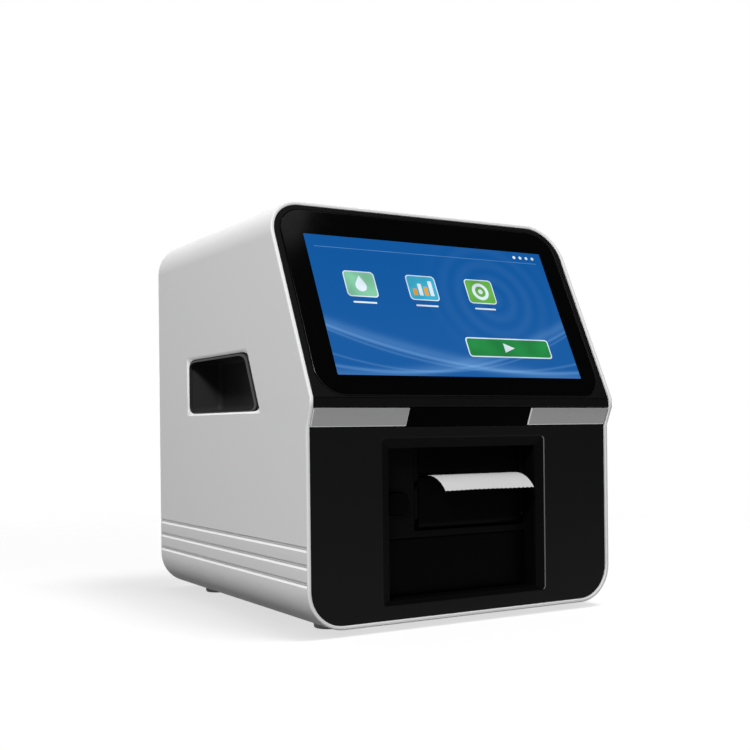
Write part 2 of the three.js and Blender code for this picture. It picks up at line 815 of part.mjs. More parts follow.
function buildFront() {
  const group = section();
  const front = fasciaSetback;
  const behindBand = front + bandThickness - bandProud + seatGap;
  const outline = [
    [front, 0],
    [front, bandFootHeight],
    [behindBand, bandFootHeight],
    [behindBand - browReach, browFootHeight - seatGap / 2],
    [behindBand - browReach + fasciaWall, browFootHeight - seatGap / 2],
    [behindBand + fasciaWall, bandFootHeight],
    [front + fasciaWall, bandFootHeight - behindBand],
    [front + fasciaWall, 0],
  ];
  const skirtRear = front + fasciaWall + skirtDepth;
  const skirt = cut(
    wrap(innerFace, front, skirtRear),
    wrap(innerFace + skirtWall, front - cutOverrun, skirtRear + cutOverrun),
    block(
      [-casingWidth, casingWidth],
      [-casingDepth, casingDepth],
      [bandFootHeight - behindBand - seatGap, casingHeight],
    ),
  );
  const mouth = (side, foot, top, y) => {
    const left = mouthLeft - side;
    const right = mouthRight + side;
    const low = mouthFoot - foot;
    const high = mouthTop + top;
    return [
      [left, y, low],
      [right, y, low],
      [right, y, high],
      [left, y, high],
    ];
  };
  const bevelled = loft([
    mouth(bevelSide, bevelFoot, bevelTop, front - cutOverrun),
    mouth(bevelSide, bevelFoot, bevelTop, front),
    mouth(0, 0, 0, front + bevelDepth),
    mouth(0, 0, 0, front + fasciaWall + cutOverrun),
  ]);
  const plate = push("x", outline, -halfWidth, halfWidth).intersect(
    wrap(innerFace, -casingDepth, casingDepth),
  );
  add(group, "lower_front_panel", cut(join(plate, skirt), bevelled), "black");

  const bandFace = front - bandProud;
  const bandFoot = bandFootHeight + seatGap / 2;
  const bandTop = browFootHeight - seatGap / 2;
  const strip = (face, thickness, from, to) =>
    push(
      "x",
      [
        [face + bandLean(bandFoot), bandFoot],
        [face + bandLean(bandTop), bandTop],
        [face + bandLean(bandTop) + thickness, bandTop],
        [face + bandLean(bandFoot) + thickness, bandFoot],
      ],
      from,
      to,
    );
  const plateEdge = bandPlateWidth / 2;
  const bandEdge = halfWidth - innerFace;
  const splitEdge = plateEdge + seatGap;
  add(group, "silver_band_left", strip(bandFace, bandThickness, -bandEdge, -splitEdge), "trim");
  add(group, "silver_band_right", strip(bandFace, bandThickness, splitEdge, bandEdge), "trim");
  add(
    group,
    "band_centre_plate",
    strip(bandFace + bandProud, bandThickness - bandProud, -plateEdge, plateEdge),
    "black",
  );

  const left = mouthLeft;
  const right = mouthRight;
  const linerFront = front + fasciaWall + seatGap;
  const back = [recessDepth, recessDepth + linerWall];
  const tub = cut(
    join(
      block(
        [left - linerWall, right + linerWall],
        [linerFront, back[1]],
        [mouthFoot - linerWall, mouthTop + linerWall],
      ),
      block(
        [left - linerWall - linerFlange, right + linerWall + linerFlange],
        [linerFront, linerFront + linerWall],
        [mouthFoot - linerWall - linerFlange, mouthTop + linerWall + linerFlange],
      ),
    ),
    block([left, right], [linerFront - cutOverrun, recessDepth], [mouthFoot, mouthTop]),
    block([left, right], [linerFront, back[1] + cutOverrun], [mouthFoot, shelfFoot]),
    block([printerLeft - seatGap, right], [linerFront, back[1] + cutOverrun], [shelfTop, mouthTop]),
    push("y", buttonShape(seatGap), linerFront, back[1] + cutOverrun),
  );
  add(group, "recess_liner", tub, "black");
}

function buttonShape(margin) {
  const half = buttonWidth / 2 + margin;
  return roundedBox(
    [buttonPlace - half, buttonPlace + half],
    [buttonHeight - half, buttonHeight + half],
    buttonCorner + margin,
  );
}



function gearOutline(teeth, module, middleAngle) {
  const pitchRadius = (module * teeth) / 2;
  const step = (2 * Math.PI) / teeth;
  const slack = gearBacklash / 2 / pitchRadius;
  const rows = [
    [pitchRadius - dedendumShare * module, flankShares.root],
    [pitchRadius, flankShares.pitch],
    [pitchRadius + module, flankShares.tip],
  ];
  return times(teeth, (k) => {
    const centre = middleAngle + k * step;
    const rising = rows.map(([r, share]) => [r, centre - share * step + slack]);
    const falling = [...rows].reverse().map(([r, share]) => [r, centre + share * step - slack]);
    return [...rising, ...falling].map(([r, angle]) => [r * Math.cos(angle), r * Math.sin(angle)]);
  }).flat();
}

function buildDrawer() {
  const group = section();
  const x0 = recessCentre;
  const frontBack = recessDepth + drawerFrontThickness;
  const left = mouthLeft + slideGap;
  const right = mouthRight - slideGap;
  const frontShape = roundedBox([left, right], [mouthFoot + slideGap, drawerFrontTop], seatGap);
  add(group, "drawer_front", push("y", frontShape, recessDepth, frontBack), "black");

  const trayFront = frontBack + seatGap;
  const trayAcross = [x0 - trayHalfWidth, x0 + trayHalfWidth];
  const floor = block(trayAcross, [trayFront, trayRear], [trayFoot, trayFloorTop]);
  const ring = rod("z", [x0, pocketPlace], pocketRadius + pocketWall, trayFoot, pocketTop, roundSides);
  const ribs = [-1, 1].map((side) => {
    const edges = [x0 + side * trayHalfWidth, x0 + side * (trayHalfWidth - trayRib)].sort((a, b) => a - b);
    return block(edges, [trayFront, trayRear], [trayFoot, trayRibTop]);
  });
  const tongues = [-1, 1].map((side) => {
    const edges = [x0 + side * (trayHalfWidth - seatGap), x0 + side * (trayHalfWidth + tongueReach)];
    return block(
      edges.sort((a, b) => a - b),
      [tongueFront, trayRear],
      [tongueFoot, tongueFoot + tongueThickness],
    );
  });
  const clampTab = block(
    [x0 - trayHalfWidth, x0 + trayHalfWidth],
    [trayFront, trayFront + pocketWall],
    [trayFoot - clampTabHeight, trayRibTop],
  );
  const pocket = rod("z", [x0, pocketPlace], pocketRadius, trayFloorTop, pocketTop + cutOverrun, roundSides);
  const slotHalf = spindleSlotWidth / 2;
  const slot = join(
    rod("z", [x0, pocketPlace], slotHalf, trayFoot - cutOverrun, trayFloorTop + cutOverrun),
    block(
      [x0 - slotHalf, x0 + slotHalf],
      [pocketPlace, trayRear + cutOverrun],
      [trayFoot - cutOverrun, trayFloorTop + seatGap],
    ),
  );
  const fingerCuts = [-1, 1].map((side) =>
    rod(
      "z",
      [x0 + side * (pocketRadius - pocketWall), pocketPlace],
      fingerRadius,
      trayFloorTop + pocketWall,
      pocketTop + cutOverrun,
    ),
  );
  const guides = block(
    [x0 - trayHalfWidth + trayRib, x0 + trayHalfWidth - trayRib],
    [pocketPlace, trayRear + cutOverrun],
    [trayFloorTop, trayRibTop + cutOverrun],
  );
  const ringRoom = rod("z", [x0, pocketPlace], pocketRadius + pocketWall, 0, casingHeight, roundSides);
  const openEnds = cut(guides, ringRoom);
  const tray = cut(join(floor, ring, ...ribs, ...tongues, clampTab), pocket, slot, openEnds);
  const sideKeep = fingerCuts.map((cutter) =>
    cutter.intersect(
      block(
        [x0 - trayHalfWidth + trayRib, x0 + trayHalfWidth - trayRib],
        [0, casingDepth],
        [0, casingHeight],
      ),
    ),
  );
  add(group, "drawer_tray", cut(tray, ...sideKeep), "tray");

  const pitch = Math.PI * gearModule;
  const tipLine = rackPitchHeight - gearModule;
  const slack = gearBacklash / 2;
  const teethBefore = Math.floor((pinionPlace - rackFront - pitch / 2) / pitch);
  const teethAfter = Math.floor((rackRear - pinionPlace - pitch / 2) / pitch);
  const toothLine = times(teethBefore + teethAfter + 1, (k) => {
    const centre = pinionPlace + (k - teethBefore) * pitch;
    return [
      [centre - flankShares.root * pitch + slack, rackRootHeight],
      [centre - flankShares.tip * pitch + slack, tipLine],
      [centre + flankShares.tip * pitch - slack, tipLine],
      [centre + flankShares.root * pitch - slack, rackRootHeight],
    ];
  }).flat();
  const rackTop = trayFoot - seatGap;
  const rackOutline = [
    [rackFront, rackTop],
    [rackFront, rackRootHeight],
    ...toothLine,
    [rackRear, rackRootHeight],
    [rackRear, rackTop],
  ];
  const rackEdges = [x0 + rackOffset - rackWidth / 2, x0 + rackOffset + rackWidth / 2];
  add(group, "drawer_rack", push("x", rackOutline, ...rackEdges), "gear");

  const pinionStep = (2 * Math.PI) / pinionTeeth;
  const pinionTeethOutline = gearOutline(pinionTeeth, gearModule, Math.PI / 2 + pinionStep / 2);
  const bracketFace = x0 + trayHalfWidth + tongueReach + slideGap + railWall + seatGap + slideGap;
  const shaftEnd = bracketFace + motorBracketWall + seatGap;
  const pinion = join(
    push("x", pinionTeethOutline, ...rackEdges),
    rod("x", [0, 0], pinionShaftRadius, rackEdges[1] - seatGap, shaftEnd, pinSides),
  );
  add(group, "tray_pinion", pinion, "gear").position.set(0, pinionPlace, pinionHeight);

  const gearboxFace = bracketFace + motorBracketWall + seatGap;
  const gearboxRear = gearboxFace + gearboxLength;
  const motorRear = gearboxRear + motorLength;
  const boxBore = pinionShaftRadius + seatGap;
  const motor = cut(
    join(
      rod("x", [0, 0], gearboxRadius, gearboxFace, gearboxRear),
      rod("x", [0, 0], motorRadius, gearboxRear - seatGap, motorRear),
      rod("x", [0, 0], boxBore, motorRear - seatGap, motorRear + boxBore, pinSides),
    ),
    rod("x", [0, 0], boxBore, gearboxFace - cutOverrun, gearboxFace + gearboxLength / 2, pinSides),
  );
  add(group, "tray_motor", motor, "steel").position.set(0, pinionPlace, pinionHeight);

  const base = moduleBase;
  const bracketTopHeight = pinionHeight + gearboxRadius;
  const halfBracket = motorBracketWidth / 2;
  const upright = block(
    [bracketFace, bracketFace + motorBracketWall],
    [pinionPlace - halfBracket, pinionPlace + halfBracket],
    [base, bracketTopHeight],
  );
  const foot = block(
    [bracketFace, bracketFace + motorBracketFoot],
    [pinionPlace + motorRadius + seatGap, pinionPlace + halfBracket],
    [base, base + motorBracketWall],
  );
  const frontFoot = block(
    [bracketFace, bracketFace + motorBracketFoot],
    [pinionPlace - halfBracket, pinionPlace - motorRadius - seatGap],
    [base, base + motorBracketWall],
  );
  const shaftLine = [pinionPlace, pinionHeight];
  const shaftHole = rod("x", shaftLine, boxBore, bracketFace - cutOverrun, casingWidth, pinSides);
  add(group, "motor_bracket", cut(join(upright, foot, frontFoot), shaftHole), "steel");
}

function buildChassis() {
  const group = section();
  const foot = innerFace;
  const top = chassisTop;
  const chassisHalf = halfWidth - cornerRadius + chassisCornerLap;
  const slotFront = trayRear - (chassisSlotCount / 2) * chassisSlotPitch;
  const slots = [-1, 1].flatMap((side) =>
    times(chassisSlotCount, (i) => {
      const y = slotFront + i * chassisSlotPitch;
      const x = recessCentre + (side * chassisSlotLength) / 2 + (side * spindleMotorRadius) / 2;
      return block(
        [x - chassisSlotLength / 2, x + chassisSlotLength / 2],
        [y, y + chassisSlotWidth],
        [foot - cutOverrun, top + cutOverrun],
      );
    }),
  );
  const stems = footPlaces.map(([, x, y]) =>
    rod("z", [x, y], footStemRadius + seatGap, foot - cutOverrun, top + cutOverrun, pinSides),
  );
  const plate = block(
    [-chassisHalf, chassisHalf],
    [chassisFront, casingDepth - chassisRearInset],
    [foot, top],
  );
  add(group, "chassis_plate", cut(plate, ...slots, ...stems), "steel");

  const base = moduleBase;
  [
    ["left_rail", -1],
    ["right_rail", 1],
  ].forEach(([name, side]) => {
    const at = (offset) => recessCentre + side * offset;
    const face = trayHalfWidth + tongueReach + slideGap;
    const inner = trayHalfWidth + slideGap;
    const lower = tongueFoot - slideGap;
    const upper = tongueFoot + tongueThickness + slideGap;
    const outline = [
      [at(face), base],
      [at(face + railFlange), base],
      [at(face + railFlange), base + railWall],
      [at(face + railWall), base + railWall],
      [at(face + railWall), railTop - railWall],
      [at(face + railFlange), railTop - railWall],
      [at(face + railFlange), railTop],
      [at(face), railTop],
      [at(face), upper + railWall],
      [at(inner), upper + railWall],
      [at(inner), upper],
      [at(face), upper],
      [at(face), lower],
      [at(inner), lower],
      [at(inner), lower - railWall],
      [at(face), lower - railWall],
    ];
    const rail = push("y", side > 0 ? outline : outline.reverse(), railFront, railRear);
    const notch = block(
      [at(face) - cutOverrun, at(face + railFlange) + cutOverrun],
      [railFront - cutOverrun, pinionPlace + motorBracketWidth / 2 + motorNotchGap],
      [base - cutOverrun, trayFoot + motorNotchRise],
    );
    add(group, name, side > 0 ? cut(rail, notch) : rail, "alloy");
  });

  const plateFoot = warmPlateFoot;
  const plateTop = warmPlateTop;
  const x0 = recessCentre;
  const light = pocketPlace + lightPath;
  const holes = [
    rod("z", [x0, light], lampTubeRadius + seatGap, plateFoot - cutOverrun, plateTop + cutOverrun),
    block(
      [readerLeft + readerWindow / 2 - seatGap, readerLeft + readerWidth - readerWindow / 2 + seatGap],
      [readerFront + readerWindow / 2 - seatGap, readerFront + readerWindow * 1.5 + seatGap],
      [plateFoot - cutOverrun, plateTop + cutOverrun],
    ),
  ];
  const warmPlate = block(
    [x0 - warmPlateHalfWidth, x0 + warmPlateHalfWidth],
    [warmPlateFront, warmPlateRear],
    [plateFoot, plateTop],
  );
  add(group, "warm_plate", cut(warmPlate, ...holes), "alloy");
}

function buildStation() {
  const group = section();
  const base = moduleBase;
  const x0 = recessCentre;
  const shoulder = spindleMotorRadius * motorShoulderShare;
  const motor = turnZ(
    [
      [0, base],
      [spindleMotorRadius, base],
      [spindleMotorRadius, spindleMotorTop - hubRim],
      [shoulder, spindleMotorTop],
      [spindleMotorBore, spindleMotorTop],
      [spindleMotorBore, spindleMotorTop - spindleShaftDepth - seatGap],
      [0, spindleMotorTop - spindleShaftDepth - seatGap],
    ],
    wheelSides,
  );
  add(group, "spindle_motor", motor, "steel").position.set(x0, pocketPlace, 0);
  const hubFoot = spindleMotorTop + seatGap;
  const hub = turnZ(
    [
      [0, spindleMotorTop - spindleShaftDepth],
      [spindleShaftRadius, spindleMotorTop - spindleShaftDepth],
      [spindleShaftRadius, hubFoot],
      [hubRadius, hubFoot],
      [hubRadius, hubFoot + hubRim],
      [hubRadius * hubNeckShare, hubFoot + 2 * hubRim],
      [hubRadius * hubNeckShare, hubTop - hubRim],
      [hubRadius * hubCrownShare, hubTop],
      [0, hubTop],
    ],
    wheelSides,
  );
  const drivePins = times(3, (i) => {
    const angle = (i * 2 * Math.PI) / 3;
    const reach = hubRadius * drivePinPlaceShare;
    const place = [reach * Math.cos(angle), reach * Math.sin(angle)];
    const pinRadius = hubRadius * drivePinRadiusShare;
    return rod("z", place, pinRadius, hubFoot + hubRim / 2, hubTop - hubRim, pinSides / 2);
  });
  add(group, "spindle_hub", join(hub, ...drivePins), "alloy").position.set(x0, pocketPlace, 0);

  const light = pocketPlace + lightPath;
  const photometerFront = pocketPlace + spindleMotorRadius + slideGap;
  const noseTop = trayFoot - slideGap;
  const photometer = cut(
    join(
      block(
        [x0 - photometerWidth / 2, x0 + photometerWidth / 2],
        [photometerFront, photometerFront + photometerLength],
        [base, photometerTop],
      ),
      rod("z", [x0, light], photometerNoseRadius, photometerTop - seatGap, noseTop),
    ),
    rod("z", [x0, light], lensRadius, photometerTop, noseTop + cutOverrun),
  );
  add(group, "photometer_block", photometer, "tray");

  const lampFoot = printerFoot;
  const lampRear = light + lampLength / 2;
  const fins = times(Math.floor(lampWidth / finPitch) - 1, (i) => {
    const gapPlace = x0 - lampWidth / 2 + (i + 1) * finPitch;
    return block(
      [gapPlace - finGap / 2, gapPlace + finGap / 2],
      [lampRear - finDepth, lampRear + cutOverrun],
      [lampFoot + finDepth, lampFoot + lampHeight + cutOverrun],
    );
  });
  const lamp = cut(
    join(
      block(
        [x0 - lampWidth / 2, x0 + lampWidth / 2],
        [light - lampLength / 2, lampRear],
        [lampFoot, lampFoot + lampHeight],
      ),
      rod("z", [x0, light], lampTubeRadius, railTop - seatGap, lampFoot + seatGap),
    ),
    ...fins,
    rod("z", [x0, light], lensRadius, railTop - cutOverrun, lampFoot),
  );
  add(group, "lamp_housing", lamp, "tray");

  const reader = join(
    block(
      [readerLeft, readerLeft + readerWidth],
      [readerFront, readerFront + readerLength],
      [lampFoot, lampFoot + readerHeight],
    ),
    block(
      [readerLeft + readerWindow / 2, readerLeft + readerWidth - readerWindow / 2],
      [readerFront + readerWindow / 2, readerFront + readerWindow * 1.5],
      [railTop + seatGap, lampFoot + seatGap],
    ),
  );
  add(group, "code_reader", reader, "tray");
}

function buildPrinter() {
  const group = section();
  const frameFoot = printerFoot;
  const frameFront = recessDepth + seatGap;
  const floorFront = warmPlateFront + printerWall;
  const innerLeft = printerLeft + printerWall;
  const innerRight = printerRight - printerWall;
  const roofFoot = printerTop - printerRoof;
  const cheek = [
    [hingePlace - hingePinRadius - slideGap, hingeHeight + printerFloor],
    [hingePlace - hingePinRadius - slideGap, hingeHeight - hingePinRadius - slideGap],
    [warmPlateFront - seatGap, hingeHeight - hingePinRadius - slideGap],
    [warmPlateFront - seatGap, frameFoot],
    [printerRear, frameFoot],
    [printerRear, printerTop],
    [frameFront, printerTop],
    [frameFront, hingeHeight + printerFloor],
  ];
  const notch = block(
    [printerLeft - cutOverrun, printerRight + cutOverrun],
    [frameFront - cutOverrun, platenPlace],
    [platenHeight - platenShaftRadius - notchDrop, platenHeight + platenShaftRadius + seatGap],
  );
  const bearing = rod(
    "x",
    [platenPlace, platenHeight],
    platenShaftRadius + seatGap,
    printerLeft - cutOverrun,
    printerRight + cutOverrun,
  );
  const pinHole = rod(
    "x",
    [hingePlace, hingeHeight],
    hingeBoreRadius,
    printerLeft - cutOverrun,
    printerRight + cutOverrun,
    pinSides,
  );
  const idlerRadius = (printerModule * idlerTeeth) / 2;
  const platenGearRadius = (printerModule * platenGearTeeth) / 2;
  const idlerPlace = platenPlace + platenGearRadius + idlerRadius + gearSlack;
  const postEnd = innerLeft + printerGearWidth + slideGap;
  const idlerPost = rod("x", [idlerPlace, platenHeight], platenShaftRadius, innerLeft - seatGap, postEnd);
  const cheeks = [
    [printerLeft, innerLeft],
    [innerRight, printerRight],
  ].map(([from, to]) => cut(push("x", cheek, from, to), notch, bearing, pinHole));
  const floor = block(
    [innerLeft - seatGap, innerRight + seatGap],
    [floorFront, printerRear],
    [frameFoot, frameFoot + printerFloor],
  );
  const rear = block(
    [innerLeft - seatGap, innerRight + seatGap],
    [printerRear - printerWall, printerRear],
    [frameFoot, printerTop],
  );
  const roof = block(
    [innerLeft - seatGap, innerRight + seatGap],
    [frameFront + tearBarDepth + seatGap, printerRear],
    [roofFoot, printerTop],
  );
  add(group, "printer_frame", join(...cheeks, floor, rear, roof, idlerPost), "black");

  const pin = rod(
    "x",
    [hingePlace, hingeHeight],
    hingePinRadius,
    printerLeft + seatGap,
    printerRight - seatGap,
    pinSides,
  );
  add(group, "door_hinge_pin", pin, "steel");

  const doorLeft = innerLeft + doorSideGap;
  const doorRight = innerRight - doorSideGap;
  const knuckle = hingePlace - recessDepth;
  const doorOutline = new THREE.Shape();
  doorOutline.moveTo(recessDepth, hingeHeight);
  doorOutline.absarc(hingePlace, hingeHeight, knuckle, Math.PI, 1.5 * Math.PI);
  doorOutline.absarc(hingePlace, hingeHeight, knuckle, 1.5 * Math.PI, 1.75 * Math.PI);
  doorOutline.lineTo(hingePlace + 2 * hingeBoreRadius - seatGap, hingeHeight);
  doorOutline.lineTo(hingePlace + hingeBoreRadius, hingeHeight + 2 * hingeBoreRadius - seatGap);
  doorOutline.lineTo(recessDepth + doorThickness, hingeHeight + 2 * knuckle);
  doorOutline.lineTo(recessDepth + doorThickness, doorTop);
  doorOutline.lineTo(recessDepth, doorTop);
  const armOutline = [
    [recessDepth + doorThickness - seatGap, platenHeight - armTip],
    [platenPlace + armTip * armCornerShare, platenHeight - armTip],
    [platenPlace + armTip, platenHeight - armTip * armCornerShare],
    [platenPlace + armTip, platenHeight + armTip * armCornerShare],
    [platenPlace + armTip * armCornerShare, platenHeight + armTip],
    [recessDepth + doorThickness - seatGap, platenHeight + armTip],
  ];
  const paperEdges = [paperCentre - paperWidth / 2, paperCentre + paperWidth / 2];
  const armSpans = [
    [paperEdges[0] - armGap - armWall, paperEdges[0] - armGap],
    [paperEdges[1] + armGap, paperEdges[1] + armGap + armWall],
  ];
  const arms = armSpans.map(([from, to]) => push("x", armOutline, from, to));
  const doorBore = rod("x", [hingePlace, hingeHeight], hingeBoreRadius, printerLeft, printerRight, pinSides);
  const platenBore = rod(
    "x",
    [platenPlace, platenHeight],
    platenShaftRadius + seatGap / 2,
    printerLeft,
    printerRight,
    pinSides,
  );
  const door = push("x", doorOutline, doorLeft, doorRight, smallSteps + 1);
  add(group, "printer_door", cut(join(door, ...arms), doorBore, platenBore), "black");

  const gearLeft = innerLeft + seatGap + slideGap;
  const platen = join(
    rod("x", [0, 0], platenRadius, armSpans[0][1] + seatGap, armSpans[1][0] - seatGap),
    rod("x", [0, 0], platenShaftRadius, printerLeft + seatGap, printerRight - seatGap, pinSides),
    push("x", gearOutline(platenGearTeeth, printerModule, 0), gearLeft, gearLeft + printerGearWidth),
  );
  add(group, "platen_roller", platen, "rubber").position.set(0, platenPlace, platenHeight);

  const idlerStart = Math.PI + Math.PI / idlerTeeth;
  const idler = cut(
    push("x", gearOutline(idlerTeeth, printerModule, idlerStart), gearLeft, gearLeft + printerGearWidth),
    rod("x", [0, 0], platenShaftRadius + seatGap / 2, printerLeft, printerRight, pinSides),
  );
  add(group, "printer_gear", idler, "gear").position.set(0, idlerPlace, platenHeight);

  const paperFoot = platenHeight + platenRadius + seatGap / 2;
  const slotTop = platenHeight + platenRadius + headClearance;
  const headFront = platenPlace - seatGap;
  const head = join(
    block(
      [paperCentre - headHalf, paperCentre + headHalf],
      [headFront, headFront + headDepth],
      [slotTop, slotTop + headHeight],
    ),
    block(
      [paperCentre - headHalf, paperCentre + headHalf],
      [headFront + headDepth / 2, headFront + headDepth],
      [slotTop, roofFoot - seatGap],
    ),
  );
  add(group, "thermal_head", head, "alloy");

  const toothCount = Math.floor((innerRight - innerLeft) / tearToothPitch);
  const toothStart = (innerLeft + innerRight - toothCount * tearToothPitch) / 2;
  const teeth = times(toothCount, (i) => [
    [toothStart + i * tearToothPitch, slotTop + tearToothHeight],
    [toothStart + (i + 0.5) * tearToothPitch, slotTop],
  ]).flat();
  const barOutline = [
    [innerLeft + seatGap, slotTop + tearToothHeight],
    ...teeth,
    [innerRight - seatGap, slotTop + tearToothHeight],
    [innerRight - seatGap, printerTop],
    [innerLeft + seatGap, printerTop],
  ];
  add(group, "tear_bar", push("y", barOutline, frameFront, frameFront + tearBarDepth), "black");

  const rollHeight = frameFoot + printerFloor + seatGap + rollRadius;
  const roll = turnZ(
    [
      [rollCoreRadius, -paperWidth / 2],
      [rollRadius, -paperWidth / 2],
      [rollRadius, paperWidth / 2],
      [rollCoreRadius, paperWidth / 2],
      [rollCoreRadius, -paperWidth / 2],
    ],
    wheelSides,
  );
  const rollMesh = add(group, "paper_roll", roll, "paper");
  rollMesh.rotation.y = Math.PI / 2;
  rollMesh.position.set(paperCentre, rollPlace, rollHeight);

  const lipPlace = recessDepth - paperReach;
  const curl = new THREE.CubicBezierCurve(
    new THREE.Vector2(recessDepth, paperFoot),
    new THREE.Vector2(recessDepth - paperReach * curlShares.lead, paperFoot),
    new THREE.Vector2(
      recessDepth - paperReach * curlShares.reach,
      paperFoot - paperDrop * curlShares.drop,
    ),
    new THREE.Vector2(lipPlace, paperFoot - paperDrop),
  );
  const middle = [new THREE.Vector2(platenPlace, paperFoot), ...curl.getPoints(cornerSteps + 1)];
  const upper = middle.map((point, i) => {
    const next = middle[Math.min(i + 1, middle.length - 1)];
    const last = middle[Math.max(i - 1, 0)];
    const along = next.clone().sub(last).setLength(paperThickness);
    return [point.x + along.y, point.y - along.x];
  });
  const stripOutline = [...middle.map((point) => [point.x, point.y]), ...upper.reverse()];
  add(group, "paper_strip", push("x", stripOutline, ...paperEdges), "paper");

  const half = buttonWidth / 2;
  const collar = buttonShape(buttonCollar);
  const collarFront = recessDepth + linerWall + seatGap;
  const button = join(
    push("y", buttonShape(0), recessDepth - buttonProud, recessDepth + buttonDepth),
    push("y", collar, collarFront, collarFront + buttonCollar),
  );
  add(group, "release_button", button, "black");

  const guideFoot = buttonHeight - half - buttonCollar - slideGap;
  const guideFront = collarFront + buttonCollar + buttonTravel + seatGap;
  const guideLeft = buttonPlace - half - buttonCollar - slideGap;
  const guideRight = printerLeft - seatGap;
  const guide = cut(
    block(
      [guideLeft, guideRight],
      [collarFront, recessDepth + buttonDepth + buttonTravel + 2 * printerWall],
      [guideFoot - printerWall, buttonHeight + half + buttonCollar + slideGap + printerWall],
    ),
    block(
      [guideLeft - cutOverrun, buttonPlace + half + buttonCollar + slideGap],
      [collarFront - cutOverrun, guideFront],
      [guideFoot, buttonHeight + half + buttonCollar + slideGap],
    ),
    push("y", buttonShape(seatGap), collarFront, recessDepth + buttonDepth + buttonTravel + seatGap),
  );
  add(group, "button_guide", guide, "tray");
}

